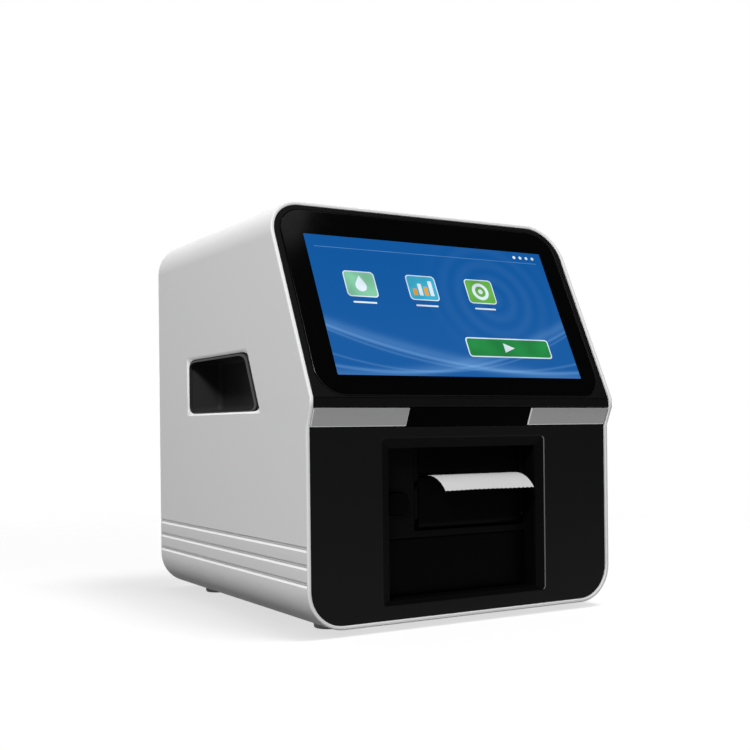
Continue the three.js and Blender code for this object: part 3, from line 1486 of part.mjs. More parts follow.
function buildElectronics() {
  const group = section();
  const base = moduleBase;
  const face = boardBracketPlace + boardWall;
  const standoffs = [boardFront + boardFoot, boardRear - boardFoot].flatMap((y) =>
    [boardFoot + boardFoot, boardTop - boardFoot].map((z) =>
      rod("x", [y, z], boardStandoffRadius, face - seatGap, face + boardStandoff, pinSides),
    ),
  );
  const bracket = join(
    block([boardBracketPlace, face], [boardFront, boardRear], [base, boardTop]),
    block(
      [boardBracketPlace, boardBracketPlace + boardFootWidth],
      [boardFront, boardRear],
      [base, base + boardWall],
    ),
    ...standoffs,
  );
  add(group, "board_bracket", bracket, "steel");

  const boardBack = face + boardStandoff + seatGap;
  const boardFace = boardBack + boardThickness;
  const chipPlace = (boardFront + boardRear) / 2 - chipSize;
  const chip = block(
    [boardFace - seatGap, boardFace + chipHeight],
    [chipPlace, chipPlace + chipSize],
    [boardTop / 2, boardTop / 2 + chipSize],
  );
  const chipFins = times(Math.floor(chipSize / finPitch), (i) =>
    block(
      [boardFace + finDepth, boardFace + chipHeight + cutOverrun],
      [chipPlace - cutOverrun, chipPlace + chipSize + cutOverrun],
      [boardTop / 2 + (i + 0.5) * finPitch, boardTop / 2 + (i + 0.5) * finPitch + finGap],
    ),
  );
  const capacitors = times(3, (i) =>
    rod(
      "x",
      [boardFront + boardFoot + i * 2.5 * capacitorRadius, boardFoot + 3 * capacitorRadius],
      capacitorRadius,
      boardFace - seatGap,
      boardFace + capacitorHeight,
      pinSides,
    ),
  );
  const headers = times(3, (i) =>
    block(
      [boardFace - seatGap, boardFace + capacitorRadius],
      [boardFront + (i + 0.5) * chipSize, boardFront + (i + 1.1) * chipSize],
      [boardTop - 2 * capacitorRadius, boardTop - capacitorRadius],
    ),
  );
  const board = block([boardBack, boardFace], [boardFront, boardRear], [boardFoot, boardTop]);
  add(group, "main_board", join(board, cut(chip, ...chipFins), ...capacitors, ...headers), "board");

  const slotCount = Math.floor((supplyRight - supplyLeft) / supplySlotPitch) - 2;
  const supplySlots = times(slotCount, (i) => {
    const x = supplyLeft + (i + 1) * supplySlotPitch;
    return block(
      [x, x + supplySlotWidth],
      [supplyFront + terminalDepth + supplySlotPitch, supplyRear - supplySlotPitch],
      [base + supplyHeight - supplySlotWidth, base + supplyHeight + cutOverrun],
    );
  });
  const terminals = block(
    [supplyLeft + supplySlotPitch, supplyRight - supplySlotPitch],
    [supplyFront - cutOverrun, supplyFront + terminalDepth],
    [base + terminalHeight, base + supplyHeight + cutOverrun],
  );
  const strips = times(Math.floor((supplyRight - supplyLeft) / (2 * supplySlotPitch)) - 1, (i) => {
    const x = supplyLeft + (2 * i + 1.5) * supplySlotPitch;
    return block(
      [x, x + 1.5 * supplySlotPitch],
      [supplyFront + terminalDepth / 4, supplyFront + terminalDepth + seatGap],
      [base + terminalHeight - seatGap, base + 2 * terminalHeight],
    );
  });
  const can = block([supplyLeft, supplyRight], [supplyFront, supplyRear], [base, base + supplyHeight]);
  add(group, "power_supply", join(cut(can, terminals, ...supplySlots), ...strips), "steel");

  const portEnd = rearFace + portProud;
  const usbMouths = [1, 3].map((quarter) => {
    const z = usbFoot + (quarter * usbHeight) / 4;
    const x = boardFace + seatGap + usbWidth / 2;
    const mouth = block(
      [x - usbMouthWidth / 2, x + usbMouthWidth / 2],
      [portEnd - usbMouthDepth, portEnd + cutOverrun],
      [z - usbMouthHeight / 2, z + usbMouthHeight / 2],
    );
    const tongue = block(
      [x - usbMouthWidth / 2 + usbWall, x + usbMouthWidth / 2 - usbWall],
      [portEnd - usbMouthDepth - seatGap, portEnd - 2 * usbWall],
      [z + usbMouthHeight / 2 - usbTongue, z + usbMouthHeight / 2 - usbWall / 2],
    );
    return cut(mouth, tongue);
  });
  const usb = cut(
    block(
      [boardFace + seatGap, boardFace + seatGap + usbWidth],
      [portEnd - usbLength, portEnd],
      [usbFoot, usbFoot + usbHeight],
    ),
    ...usbMouths,
  );
  add(group, "usb_ports", usb, "steel");

  const networkCentre = boardFace + seatGap + networkWidth / 2;
  const mouthFootHeight = networkFoot + (networkHeight - networkMouthHeight) / 2 + networkKeyHeight / 2;
  const network = cut(
    block(
      [boardFace + seatGap, boardFace + seatGap + networkWidth],
      [portEnd - networkLength, portEnd],
      [networkFoot, networkFoot + networkHeight],
    ),
    block(
      [networkCentre - networkMouthWidth / 2, networkCentre + networkMouthWidth / 2],
      [portEnd - networkMouthDepth, portEnd + cutOverrun],
      [mouthFootHeight, mouthFootHeight + networkMouthHeight],
    ),
    block(
      [networkCentre - networkKeyWidth / 2, networkCentre + networkKeyWidth / 2],
      [portEnd - networkMouthDepth / 2, portEnd + cutOverrun],
      [mouthFootHeight - networkKeyHeight, mouthFootHeight + seatGap],
    ),
  );
  add(group, "network_port", network, "steel");
}

function buildRear() {
  const group = section();
  const panelFront = rearPanelFront;
  const through = [panelFront - cutOverrun, rearFace + cutOverrun];
  const opening = (x, z, width, height, margin) =>
    push(
      "y",
      roundedBox(
        [x - width / 2 - margin, x + width / 2 + margin],
        [z - height / 2 - margin, z + height / 2 + margin],
        margin,
      ),
      ...through,
    );
  const disc = rod("y", [fanPlace, fanHeight], grilleRadius, ...through, roundSides);
  const grille = times(grilleSlotCount, (i) => {
    const z = fanHeight + (i - (grilleSlotCount - 1) / 2) * grillePitch;
    const across = [fanPlace - grilleRadius, fanPlace + grilleRadius];
    return block(across, through, [z - grilleSlot / 2, z + grilleSlot / 2]);
  }).map((slot) => slot.intersect(disc));
  const spine = block(
    [fanPlace - grilleSlot / 2, fanPlace + grilleSlot / 2],
    through,
    [fanHeight - grilleRadius, fanHeight + grilleRadius],
  );
  const vents = times(ventCount, (i) => {
    const z = ventFoot + i * grillePitch;
    return block([ventLeft, ventLeft + ventWidth], through, [z, z + grilleSlot]);
  });
  const boardFace = boardBracketPlace + boardWall + boardStandoff + seatGap + boardThickness + seatGap;
  const ports = [
    [usbWidth, usbFoot, usbHeight],
    [networkWidth, networkFoot, networkHeight],
  ];
  const panel = cut(
    wrap(innerFace, panelFront, rearFace),
    ...grille.map((slot) => cut(slot, spine)),
    ...vents,
    opening(inletPlace, inletHeight, inletWidth, inletTall, seatGap),
    opening(switchPlace, inletHeight, switchWidth, switchTall, seatGap),
    ...ports.map(([width, foot, height]) =>
      opening(boardFace + width / 2, foot + height / 2, width, height, seatGap),
    ),
  );
  add(group, "rear_panel", panel, "steel");

  const fanRear = panelFront - seatGap;
  const fanFront = fanRear - fanDepth;
  const fanShape = roundedBox([-fanSize / 2, fanSize / 2], [-fanSize / 2, fanSize / 2], fanCornerRadius);
  const struts = times(4, (i) => {
    const strut = block(
      [0, fanBoreRadius + seatGap],
      [fanDepth - fanStrutDepth, fanDepth],
      [-fanStrutWidth / 2, fanStrutWidth / 2],
    );
    return strut.rotate([0, i * 90 + 45, 0]);
  });
  const screwHoles = [-1, 1].flatMap((a) =>
    [-1, 1].map((b) =>
      rod(
        "y",
        [(a * fanScrewSpread) / 2, (b * fanScrewSpread) / 2],
        screwHoleRadius,
        -cutOverrun,
        fanDepth + cutOverrun,
        pinSides / 2,
      ),
    ),
  );
  const cup = rod("y", [0, 0], fanHubRadius, fanDepth - fanStrutDepth, fanDepth);
  const spindle = rod("y", [0, 0], spindleShaftRadius, fanDepth / 2, fanDepth, pinSides);
  const bore = rod("y", [0, 0], fanBoreRadius, -cutOverrun, fanDepth + cutOverrun, roundSides);
  const frame = join(cut(push("y", fanShape, 0, fanDepth), bore, ...screwHoles), ...struts, cup, spindle);
  add(group, "fan_frame", frame, "black").position.set(fanPlace, fanFront, fanHeight);

  const rotorRear = fanDepth - fanStrutDepth - slideGap;
  const blades = times(fanBladeCount, (i) => {
    const blade = block(
      [fanHubRadius - fanBladeThickness, fanBladeRadius],
      [-fanBladeChord / 2, fanBladeChord / 2],
      [-fanBladeThickness / 2, fanBladeThickness / 2],
    );
    const pitched = blade.rotate([fanBladeDegrees, 0, 0]).translate([0, rotorRear / 2, 0]);
    return pitched.rotate([0, (i * 360) / fanBladeCount, 0]);
  });
  const room = rod("y", [0, 0], fanBladeRadius, seatGap, rotorRear, roundSides);
  const rotor = cut(
    join(...blades, rod("y", [0, 0], fanHubRadius, seatGap, rotorRear)).intersect(room),
    rod("y", [0, 0], spindleShaftRadius + seatGap, fanDepth / 2 - seatGap, fanDepth, pinSides),
  );
  add(group, "fan_rotor", rotor, "black").position.set(fanPlace, fanFront, fanHeight);

  const flangeFront = rearFace + seatGap;
  const flangeRear = flangeFront + inletFlange;
  const lap = inletFlangeLap;
  const socketShape = roundedOutline(
    [
      [-socketWidth / 2, -socketTall / 2],
      [socketWidth / 2, -socketTall / 2],
      [socketWidth / 2, socketTall / 2 - socketCorner],
      [socketWidth / 2 - socketCorner, socketTall / 2],
      [socketCorner - socketWidth / 2, socketTall / 2],
      [-socketWidth / 2, socketTall / 2 - socketCorner],
    ],
    seatGap,
  );
  const pins = [
    [-pinSpread, -pinDrop],
    [0, pinDrop],
    [pinSpread, -pinDrop],
  ].map(([x, z]) =>
    block(
      [x - pinWidth / 2, x + pinWidth / 2],
      [flangeRear - socketDepth - seatGap, flangeRear - seatGap - portProud],
      [z - pinTall / 2, z + pinTall / 2],
    ),
  );
  const inletShape = (margin, corner) => {
    const across = inletWidth / 2 + margin;
    const up = inletTall / 2 + margin;
    return roundedBox([-across, across], [-up, up], corner);
  };
  const inlet = join(
    cut(
      join(
        push("y", inletShape(0, seatGap), flangeRear - inletBody, flangeRear),
        push("y", inletShape(lap, lap), flangeFront, flangeRear),
      ),
      push("y", socketShape, flangeRear - socketDepth, flangeRear + cutOverrun),
    ),
    ...pins,
  );
  add(group, "power_inlet", inlet, "black").position.set(inletPlace, 0, inletHeight);

  const switchRear = flangeFront + switchFlange;
  const bodyShape = (margin) =>
    roundedBox(
      [-switchWidth / 2 - margin, switchWidth / 2 + margin],
      [-switchTall / 2 - margin, switchTall / 2 + margin],
      seatGap,
    );
  const housing = cut(
    join(
      push("y", bodyShape(0), switchRear - switchBody, switchRear),
      push("y", bodyShape(switchFlange), flangeFront, switchRear),
    ),
    push("y", bodyShape(-switchWall), switchRear - switchBody / 2, switchRear + cutOverrun),
  );
  add(group, "switch_housing", housing, "black").position.set(switchPlace, 0, inletHeight);

  const rockerWidth = switchWidth - 2 * switchWall - 2 * seatGap;
  const rockerShape = [
    [-rockerKeel, -rockerRoot],
    [-rockerKeel, rockerRoot],
    [rockerEnd - rockerKeel, rockerHalf],
    [rockerEnd, rockerHalf],
    [rockerCrown - rockerEnd / 2, 0],
    [rockerEnd, -rockerHalf],
    [rockerEnd - rockerKeel, -rockerHalf],
  ].reverse();
  const rocker = push("x", rockerShape, -rockerWidth / 2, rockerWidth / 2);
  const rockerMesh = add(group, "power_rocker", rocker, "black");
  rockerMesh.rotation.x = THREE.MathUtils.degToRad(rockerDegrees);
  rockerMesh.position.set(switchPlace, switchRear - rockerEnd + seatGap, inletHeight);
}

buildCasing();
buildScreen();
buildFront();
buildChassis();
buildStation();
buildDrawer();
buildPrinter();
buildElectronics();
buildRear();

const analyzer = new THREE.Group();
analyzer.name = "analyzer";
meshes.position.set(0, (browReach - casingDepth) / 2, footHeight);
analyzer.add(meshes);

export default analyzer;
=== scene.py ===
"""Looks of a dry biochemistry analyzer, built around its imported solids."""

import json
import math

import bmesh
import bpy
from bpy.props import FloatProperty, FloatVectorProperty, IntProperty, PointerProperty
from mathutils import Matrix, Vector


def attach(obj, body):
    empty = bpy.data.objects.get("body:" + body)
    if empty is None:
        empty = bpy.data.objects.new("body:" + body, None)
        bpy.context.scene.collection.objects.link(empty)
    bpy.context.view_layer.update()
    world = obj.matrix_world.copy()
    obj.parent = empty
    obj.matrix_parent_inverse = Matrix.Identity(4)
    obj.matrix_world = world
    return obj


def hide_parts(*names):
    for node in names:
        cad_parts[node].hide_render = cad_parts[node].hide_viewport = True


bl_info = {
    "name": "Dry biochemistry analyzer",
    "version": (1, 0, 0),
    "blender": (4, 5, 0),
    "location": "View3D > Sidebar > Analyzer",
    "description": "Builds the looks of a bench analyzer around its packed solids",
    "category": "Object",
}

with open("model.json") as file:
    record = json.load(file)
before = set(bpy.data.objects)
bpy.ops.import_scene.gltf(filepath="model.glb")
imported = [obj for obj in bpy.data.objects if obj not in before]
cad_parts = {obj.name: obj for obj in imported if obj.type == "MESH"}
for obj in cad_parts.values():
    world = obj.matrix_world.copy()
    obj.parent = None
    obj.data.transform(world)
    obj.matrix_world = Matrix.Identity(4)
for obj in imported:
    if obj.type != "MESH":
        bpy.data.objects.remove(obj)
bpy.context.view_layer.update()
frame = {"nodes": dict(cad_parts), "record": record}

MM = 0.001
SHELL_SHIFT = Vector((0, -101.9, 3.5))

# Sizes that the solids fix, in millimetres from the casing's front foot line.
HALF_WIDTH = 95.0
CASING_HEIGHT = 216.4
CASING_DEPTH = 208.0
CORNER_RADIUS = 20.0
WALL = 1.9
GAP = 0.3
INNER_FACE = WALL + GAP
BAND_FOOT = 98.4
BROW_FOOT = 108.2
BROW_TOP = 113.0
BROW_REACH = 4.2
SCREEN_SETBACK = 45.7
FASCIA_SETBACK = 0.8
FASCIA_WALL = 3.0
SLOPE_RISE = CASING_HEIGHT - BROW_TOP
SLOPE_RUN = SCREEN_SETBACK + BROW_REACH
SLOPE_ANGLE = math.atan2(SLOPE_RISE, SLOPE_RUN)
GLASS_HALF = 89.0
GLASS_FOOT = 1.2
GLASS_TOP = 109.94
GLASS_CORNER = 15.0
GLASS_THICKNESS = 1.8
GRIP_REAR = 157.0
GRIP_FOOT = 107.4
GRIP_TOP = 141.0
GRIP_FRONT_FOOT = 54.2
GRIP_SLOPE = SLOPE_RUN / SLOPE_RISE
GRIP_DEPTH = 19.0
MOUTH = (-47.9, 44.9, 11.3, 87.7)
RECESS_DEPTH = 12.2
PLATEN_HEIGHT = 68.4
PLATEN_RADIUS = 4.2
PAPER_CENTRE = 10.9
PAPER_WIDTH = 57.0

# Middle heights of the grooves, and height and share of the depth down one groove.
GROOVE_HEIGHTS = (40.1, 31.6, 23.0)
GROOVE_PROFILE = (
    (1.35, 0.0),
    (1.25, 0.5),
    (1.15, 0.62),
    (-0.05, 0.58),
    (-0.12, 0.9),
    (-0.2, 1.0),
    (-0.3, 1.0),
    (-0.4, 0.95),
    (-1.3, 0.05),
    (-1.42, 0.0),
)

# Reach and stretch of the rounded corners in a grip's mouth, and of its cut edge.
SOFT_CORNER = (4.4, 2.2)
CRISP_CORNER = (1.0, 1.0)
GRIP_STEPS = 6

# Height, lean, bend, width and strength of the picture's light bands, in metres.
LIGHT_BANDS = (
    (0.0215, -0.20, 0.9, 0.0034, 0.22),
    (0.0195, -0.16, 1.5, 0.0010, 0.32),
    (0.0175, -0.11, 2.1, 0.0007, 0.20),
    (0.0200, 0.22, 1.6, 0.0030, 0.18),
    (0.0175, 0.16, 2.1, 0.0009, 0.28),
    (0.0160, 0.10, 2.7, 0.0006, 0.18),
)
PICTURE_SEAT = -0.1

SCREW_LENGTHS = ("Head Radius", "Head Height", "Recess Width", "Recess Depth")

# Albedo of the floor where it is seen and where it only throws light back, and its glow when seen.
FLOOR_SEEN = (0.5, 0.5, 0.5, 1)
FLOOR_UNSEEN = (0.2, 0.2, 0.2, 1)
FLOOR_GLOW = 0.665
FLOOR_HALF = 1.2
FLOOR_FADE = (0.34, 0.8)

LAMP_AIM = (0, 0, 0.1)
CAMERA_SHIFT = (-0.0075, 0.0677)


def length_field(name, description, default, **limits):
    """Setting for a length, given in millimetres."""
    return FloatProperty(
        name=name, description=description, default=default * MM, unit="LENGTH", **limits
    )


def angle_field(name, description, default):
    """Setting for an angle, given in degrees."""
    return FloatProperty(
        name=name, description=description, default=math.radians(default), subtype="ANGLE"
    )


def power_field(name, description, default):
    """Setting for a lamp's power in watts."""
    return FloatProperty(name=name, description=description, default=default, subtype="POWER")


def colour_field(name, description, default):
    """Setting for a colour with red, green and blue from 0 to 1."""
    return FloatVectorProperty(
        name=name, description=description, default=default, subtype="COLOR", size=3, min=0, max=1
    )


def grey(level):
    """Neutral colour of one level."""
    return (level,) * 3


class CasingSizes(bpy.types.PropertyGroup):
    """Rounding of the white casing and its grips"""

    rim_round: length_field(
        "Rim rounding", "Radius of the casing's front and rear edges", 0.8, min=0.1 * MM, max=0.9 * MM
    )
    groove_depth: length_field("Groove depth", "Depth of the three grooves in each side", 0.85)
    grip_bevel: length_field("Grip bevel", "Width of the bevel round each grip opening", 1.15)
    corner_steps: IntProperty(
        name="Corner steps", description="Flat faces on each rounded corner", default=18, min=4
    )


class FrontSizes(bpy.types.PropertyGroup):
    """Details of the black front and its opening"""

    edge_round: length_field("Edge rounding", "Radius of the mouldings' outer edges", 0.5)
    mouth_corner: length_field(
        "Opening corner", "Corner radius of the opening's outer bevel edge", 2.6
    )
    glass_round: length_field(
        "Glass edge rounding", "Radius of the ground edge of the glass", 0.35
    )


class FinishColours(bpy.types.PropertyGroup):
    """Colours of the materials"""

    shell: colour_field("Casing", "Satin white of the casing", grey(0.78))
    black: colour_field(
        "Black mouldings", "Black of the front mouldings", (0.0086, 0.0086, 0.0087)
    )
    trim: colour_field("Trim band", "Brushed aluminium of the band", grey(0.258))
    paper: colour_field("Paper", "Thermal paper", grey(0.63))


class PictureColours(bpy.types.PropertyGroup):
    """Colours and place of the lit picture on the display"""

    sky: colour_field("Picture", "Main blue of the picture", (0.006, 0.098, 0.352))
    glow: colour_field("Bands of light", "Pale blue of the soft bands", (0.18, 0.42, 0.78))
    button: colour_field("Button", "Green of the wide button", (0.02, 0.24, 0.06))
    icon_row: length_field(
        "Icon row", "Height of the row of icons above the glass's foot", 66
    )


class StageSettings(bpy.types.PropertyGroup):
    """Camera, lamps and floor"""

    camera_place: FloatVectorProperty(
        name="Camera",
        description="Place of the camera",
        subtype="TRANSLATION",
        size=3,
        default=(-0.32861, -0.56571, 0.10206),
    )
    camera_yaw: angle_field("Yaw", "Turn of the camera to the right", 30.64)
    camera_pitch: angle_field("Pitch", "Lift of the camera's line of sight", 0.05)
    camera_roll: angle_field("Roll", "Turn of the camera about its line of sight", -0.63)
    lens: FloatProperty(
        name="Lens", description="Focal length in millimetres on a 36 mm sensor", default=52.28
    )
    room_light: FloatProperty(
        name="Room light", description="Strength of the even light from all round", default=0.2
    )
    dim_side: FloatProperty(
        name="Dim side",
        description="Brightness that glossy surfaces see behind the camera",
        default=0.018,
    )
    overhead_power: power_field(
        "Overhead lamp", "Power of the large lamp overhead in watts", 3.3
    )
    key_power: power_field("Front lamp", "Power of the lamp high at the front in watts", 3.0)
    left_power: power_field("Left lamp", "Power of the lamp at the front left in watts", 35.5)
    floor_power: power_field(
        "Floor lamp", "Power of the lamp that lights only the floor, in watts", 58.0
    )
    rear_power: power_field(
        "Rear lamp", "Power of the lamp behind that lights the edges in watts", 4.5
    )


def sizes(group):
    """Settings group of the scene by its short name."""
    return getattr(bpy.context.scene, "analyzer_" + group)


# Node trees


class Tree:
    """Short calls for making and linking nodes in one tree."""

    def __init__(self, tree):
        self.tree = tree

    def add(self, kind, **fields):
        node = self.tree.nodes.new(kind)
        for name, value in fields.items():
            setattr(node, name, value)
        return node

    def feed(self, socket, value):
        """Links an output to a socket, or sets the socket's own value."""
        if isinstance(value, bpy.types.NodeSocket):
            self.tree.links.new(value, socket)
        else:
            socket.default_value = value

    def made(self, kind, inputs, output=0, **fields):
        """Adds a node, feeds its sockets by name or number and returns one of its outputs."""
        node = self.add(kind, **fields)
        for key, value in inputs.items():
            self.feed(node.inputs[key], value)
        return node.outputs[output]

    def maths(self, operation, *values, clamp=False):
        inputs = dict(enumerate(values))
        return self.made("ShaderNodeMath", inputs, operation=operation, use_clamp=clamp)

    def plus(self, *values):
        return self.maths("ADD", *values)

    def minus(self, *values):
        return self.maths("SUBTRACT", *values)

    def times(self, *values):
        return self.maths("MULTIPLY", *values)

    def over(self, *values):
        return self.maths("DIVIDE", *values)

    def vector(self, *values):
        return self.made("ShaderNodeCombineXYZ", dict(enumerate(values)))

    def scaled(self, colour, factor):
        return self.made("ShaderNodeVectorMath", {0: colour, "Scale": factor}, operation="SCALE")

    def blend(self, share, first, second):
        return self.made("ShaderNodeMix", {0: share, 6: first, 7: second}, 2, data_type="RGBA")

    def spread(self, value, from_low, from_high, to_low=0.0, to_high=1.0, smooth=False):
        inputs = dict(enumerate((value, from_low, from_high, to_low, to_high)))
        kind = "SMOOTHSTEP" if smooth else "LINEAR"
        return self.made("ShaderNodeMapRange", inputs, interpolation_type=kind)

    def noise(self, place, scale, detail=2.0, roughness=0.5):
        inputs = {"Vector": place, "Scale": scale, "Detail": detail, "Roughness": roughness}
        return self.made("ShaderNodeTexNoise", inputs)

    def place(self):
        return self.add("ShaderNodeTexCoord").outputs["Object"]


def shader_group(name, outputs, **inputs):
    """Empty shader node group with named sockets; returns its tree, inputs and output sockets."""
    tree = bpy.data.node_groups.new(name, "ShaderNodeTree")
    for label, value in inputs.items():
        kind = "NodeSocketFloat"
        if isinstance(value, tuple):
            kind = "NodeSocketColor" if len(value) == 4 else "NodeSocketVector"
        label = label.replace("_", " ")
        socket = tree.interface.new_socket(name=label, in_out="INPUT", socket_type=kind)
        socket.default_value = value
    for label in outputs:
        kind = "NodeSocketColor" if label == "Color" else "NodeSocketFloat"
        tree.interface.new_socket(name=label, in_out="OUTPUT", socket_type=kind)
    short = Tree(tree)
    source = short.add("NodeGroupInput")
    target = short.add("NodeGroupOutput")
    return short, source.outputs, target.inputs


def moulded_grain():
    """Fine spark-eroded grain with slow changes of gloss."""
    short, given, out = shader_group(
        "Moulded grain",
        ("Color", "Roughness", "Height"),
        Grain_Size=0.0004,
        Roughness=0.4,
        Gloss_Change=0.06,
        Color=(0.5, 0.5, 0.5, 1),
        Tone_Change=0.03,
    )
    place = short.place()
    grain = short.noise(place, short.over(1.0, given["Grain Size"]), detail=3)
    slow = short.minus(short.noise(place, 22.0, detail=3), 0.5)
    middle = short.minus(short.noise(place, 160.0, detail=2), 0.5)
    swing = short.times(slow, given["Gloss Change"])
    extra = short.times(middle, given["Gloss Change"])
    factor = short.plus(1.0, short.times(slow, given["Tone Change"]))
    short.feed(out["Color"], short.scaled(given["Color"], factor))
    short.feed(out["Roughness"], short.plus(short.plus(given["Roughness"], swing), extra))
    short.feed(out["Height"], grain)


def brushed_lines():
    """Long fine scratches along one axis."""
    short, given, out = shader_group(
        "Brushed lines",
        ("Color", "Roughness", "Height"),
        Stretch=(0.02, 1.0, 1.0),
        Fineness=2500.0,
        Roughness=0.35,
        Color=(0.5, 0.5, 0.5, 1),
        Tone_Change=0.25,
    )
    stretched = short.made(
        "ShaderNodeVectorMath", {0: short.place(), 1: given["Stretch"]}, operation="MULTIPLY"
    )
    lines = short.noise(stretched, given["Fineness"], detail=4, roughness=0.65)
    spread = short.times(short.minus(lines, 0.5), given["Tone Change"])
    short.feed(out["Color"], short.scaled(given["Color"], short.plus(1.0, spread)))
    short.feed(out["Roughness"], short.plus(given["Roughness"], short.times(spread, 0.4)))
    short.feed(out["Height"], lines)


def soft_bands():
    """Crossing soft bands of light and faint rings for the lit picture."""
    short, given, out = shader_group(
        "Soft bands", ("Color",), Picture=(0, 0.1, 0.35, 1), Glow=(0.2, 0.4, 0.8, 1)
    )
    axes = short.add("ShaderNodeSeparateXYZ")
    short.feed(axes.inputs[0], short.place())
    x, z = axes.outputs[0], axes.outputs[2]
    foot = (BROW_TOP + SHELL_SHIFT.z) * MM
    up = short.over(short.minus(z, foot), math.sin(SLOPE_ANGLE))
    total = 0.0
    for lift, lean, bend, width, strength in LIGHT_BANDS:
        bow = short.times(short.times(x, x), bend)
        line = short.plus(short.plus(short.times(x, lean), lift), bow)
        away = short.over(short.minus(up, line), width)
        bell = short.maths("POWER", 2.718, short.times(short.times(away, away), -1.0))
        total = short.plus(total, short.times(bell, strength))
    across = short.maths("POWER", short.minus(x, 0.034), 2.0)
    along = short.maths("POWER", short.minus(up, 0.062), 2.0)
    reach = short.maths("SQRT", short.plus(across, along))
    rings = short.maths("SINE", short.times(reach, 620.0))
    fade = short.spread(reach, 0.018, 0.055, 0.025, 0.0, smooth=True)
    total = short.plus(total, short.times(short.plus(rings, 1.0), fade))
    lit = short.spread(up, 0.012, 0.095, 0.03, 0.0, smooth=True)
    total = short.maths("ADD", total, lit, clamp=True)
    short.feed(out["Color"], short.blend(total, given["Picture"], given["Glow"]))


def grouped(short, name, **values):
    """Places a shared group in a material, sets its inputs and returns its outputs."""
    node = short.add("ShaderNodeGroup", node_tree=bpy.data.node_groups[name])
    for label, value in values.items():
        short.feed(node.inputs[label.replace("_", " ")], value)
    return node.outputs


def material(name, **constants):
    """New material with the Principled shader's plain sockets set; returns its tree and sockets."""
    made = bpy.data.materials.new(name)
    made.use_nodes = True
    shader = made.node_tree.nodes["Principled BSDF"]
    for label, value in constants.items():
        shader.inputs[label.replace("_", " ")].default_value = value
    return Tree(made.node_tree), shader.inputs


def surfaced(short, sockets, group, depth=0.0, **values):
    """Takes a material's colour, gloss and bump from a shared surface group."""
    parts = grouped(short, group, **values)
    short.feed(sockets["Base Color"], parts["Color"])
    short.feed(sockets["Roughness"], parts["Roughness"])
    if depth:
        inputs = {"Strength": 1.0, "Distance": depth, "Height": parts["Height"]}
        short.feed(sockets["Normal"], short.made("ShaderNodeBump", inputs))


def plastic(name, colour, rough, grain, depth, level, tone=0.03):
    """Moulded surface; its grain and its bump's depth are in millimetres."""
    surfaced(
        *material(name, Specular_IOR_Level=level),
        "Moulded grain",
        depth * MM,
        Grain_Size=grain * MM,
        Roughness=rough,
        Gloss_Change=0.06,
        Color=(*colour, 1),
        Tone_Change=tone,
    )


def metal(name, colour, rough, stretch, fineness, tone):
    """Brushed or turned metal."""
    surfaced(
        *material(name, Metallic=1.0),
        "Brushed lines",
        0.004 * MM,
        Stretch=stretch,
        Fineness=fineness,
        Roughness=rough,
        Color=(*colour, 1),
        Tone_Change=tone,
    )


def lit_material(name):
    """Lit part of the picture, with the gloss of the glass over it."""
    return material(
        name,
        Base_Color=(0.0, 0.0, 0.0, 1),
        Roughness=0.06,
        Specular_IOR_Level=0.35,
        Emission_Strength=1.0,
    )


def glowing(name, colour):
    """Lit part of one colour that changes a little over its face."""
    short, sockets = lit_material(name)
    shade = short.noise(short.place(), 90.0, detail=1)
    factor = short.spread(shade, 0.3, 0.7, 0.85, 1.15)
    short.feed(sockets["Emission Color"], short.scaled(colour, factor))


# Shapes


def shell_point(x, y, z):
    """A point given in millimetres from the casing's foot line, in the part's frame in metres."""
    return (Vector((x, y, z)) + SHELL_SHIFT) * MM


def shell_place(polygon):
    """Middle of a face in millimetres from the casing's foot line."""
    return polygon.center / MM - SHELL_SHIFT


def slope_point(x, s, n):
    """A point on the screen's slope: across, up the slope and out of it, in millimetres."""
    y = FASCIA_SETBACK - BROW_REACH + s * math.cos(SLOPE_ANGLE) - n * math.sin(SLOPE_ANGLE)
    z = BROW_TOP + s * math.sin(SLOPE_ANGLE) + n * math.cos(SLOPE_ANGLE)
    return shell_point(x, y, z)


def front_line(z):
    """Depth of the casing's front edge at a height."""
    points = (
        (0.0, 0.0),
        (BAND_FOOT, 0.0),
        (BROW_FOOT, -BROW_REACH),
        (BROW_TOP, -BROW_REACH),
        (CASING_HEIGHT, SCREEN_SETBACK),
    )
    for (z0, y0), (z1, y1) in zip(points, points[1:]):
        if z <= z1:
            return y0 + (y1 - y0) * (z - z0) / (z1 - z0)
    return SCREEN_SETBACK


def arc(cx, cz, radius, start, end, steps):
    """Points on an arc between two angles in degrees."""
    angles = [math.radians(start + (end - start) * i / steps) for i in range(steps + 1)]
    return [(cx + radius * math.cos(angle), cz + radius * math.sin(angle)) for angle in angles]


def quarter(steps):
    """Pairs of one less the sine and one less the cosine over a quarter turn."""
    angles = [math.radians(90 * i / steps) for i in range(steps + 1)]
    return [(1 - math.sin(angle), 1 - math.cos(angle)) for angle in angles]


def rounded_outline(box, radii, steps):
    """Rounded rectangle, anticlockwise from its lower right corner, with one radius or four."""
    x0, x1, z0, z1 = box
    if not isinstance(radii, tuple):
        radii = (radii,) * 4
    lower_left, lower_right, upper_right, upper_left = radii
    return (
        arc(x1 - lower_right, z0 + lower_right, lower_right, -90, 0, steps)
        + arc(x1 - upper_right, z1 - upper_right, upper_right, 0, 90, steps)
        + arc(x0 + upper_left, z1 - upper_left, upper_left, 90, 180, steps)
        + arc(x0 + lower_left, z0 + lower_left, lower_left, 180, 270, steps)
    )


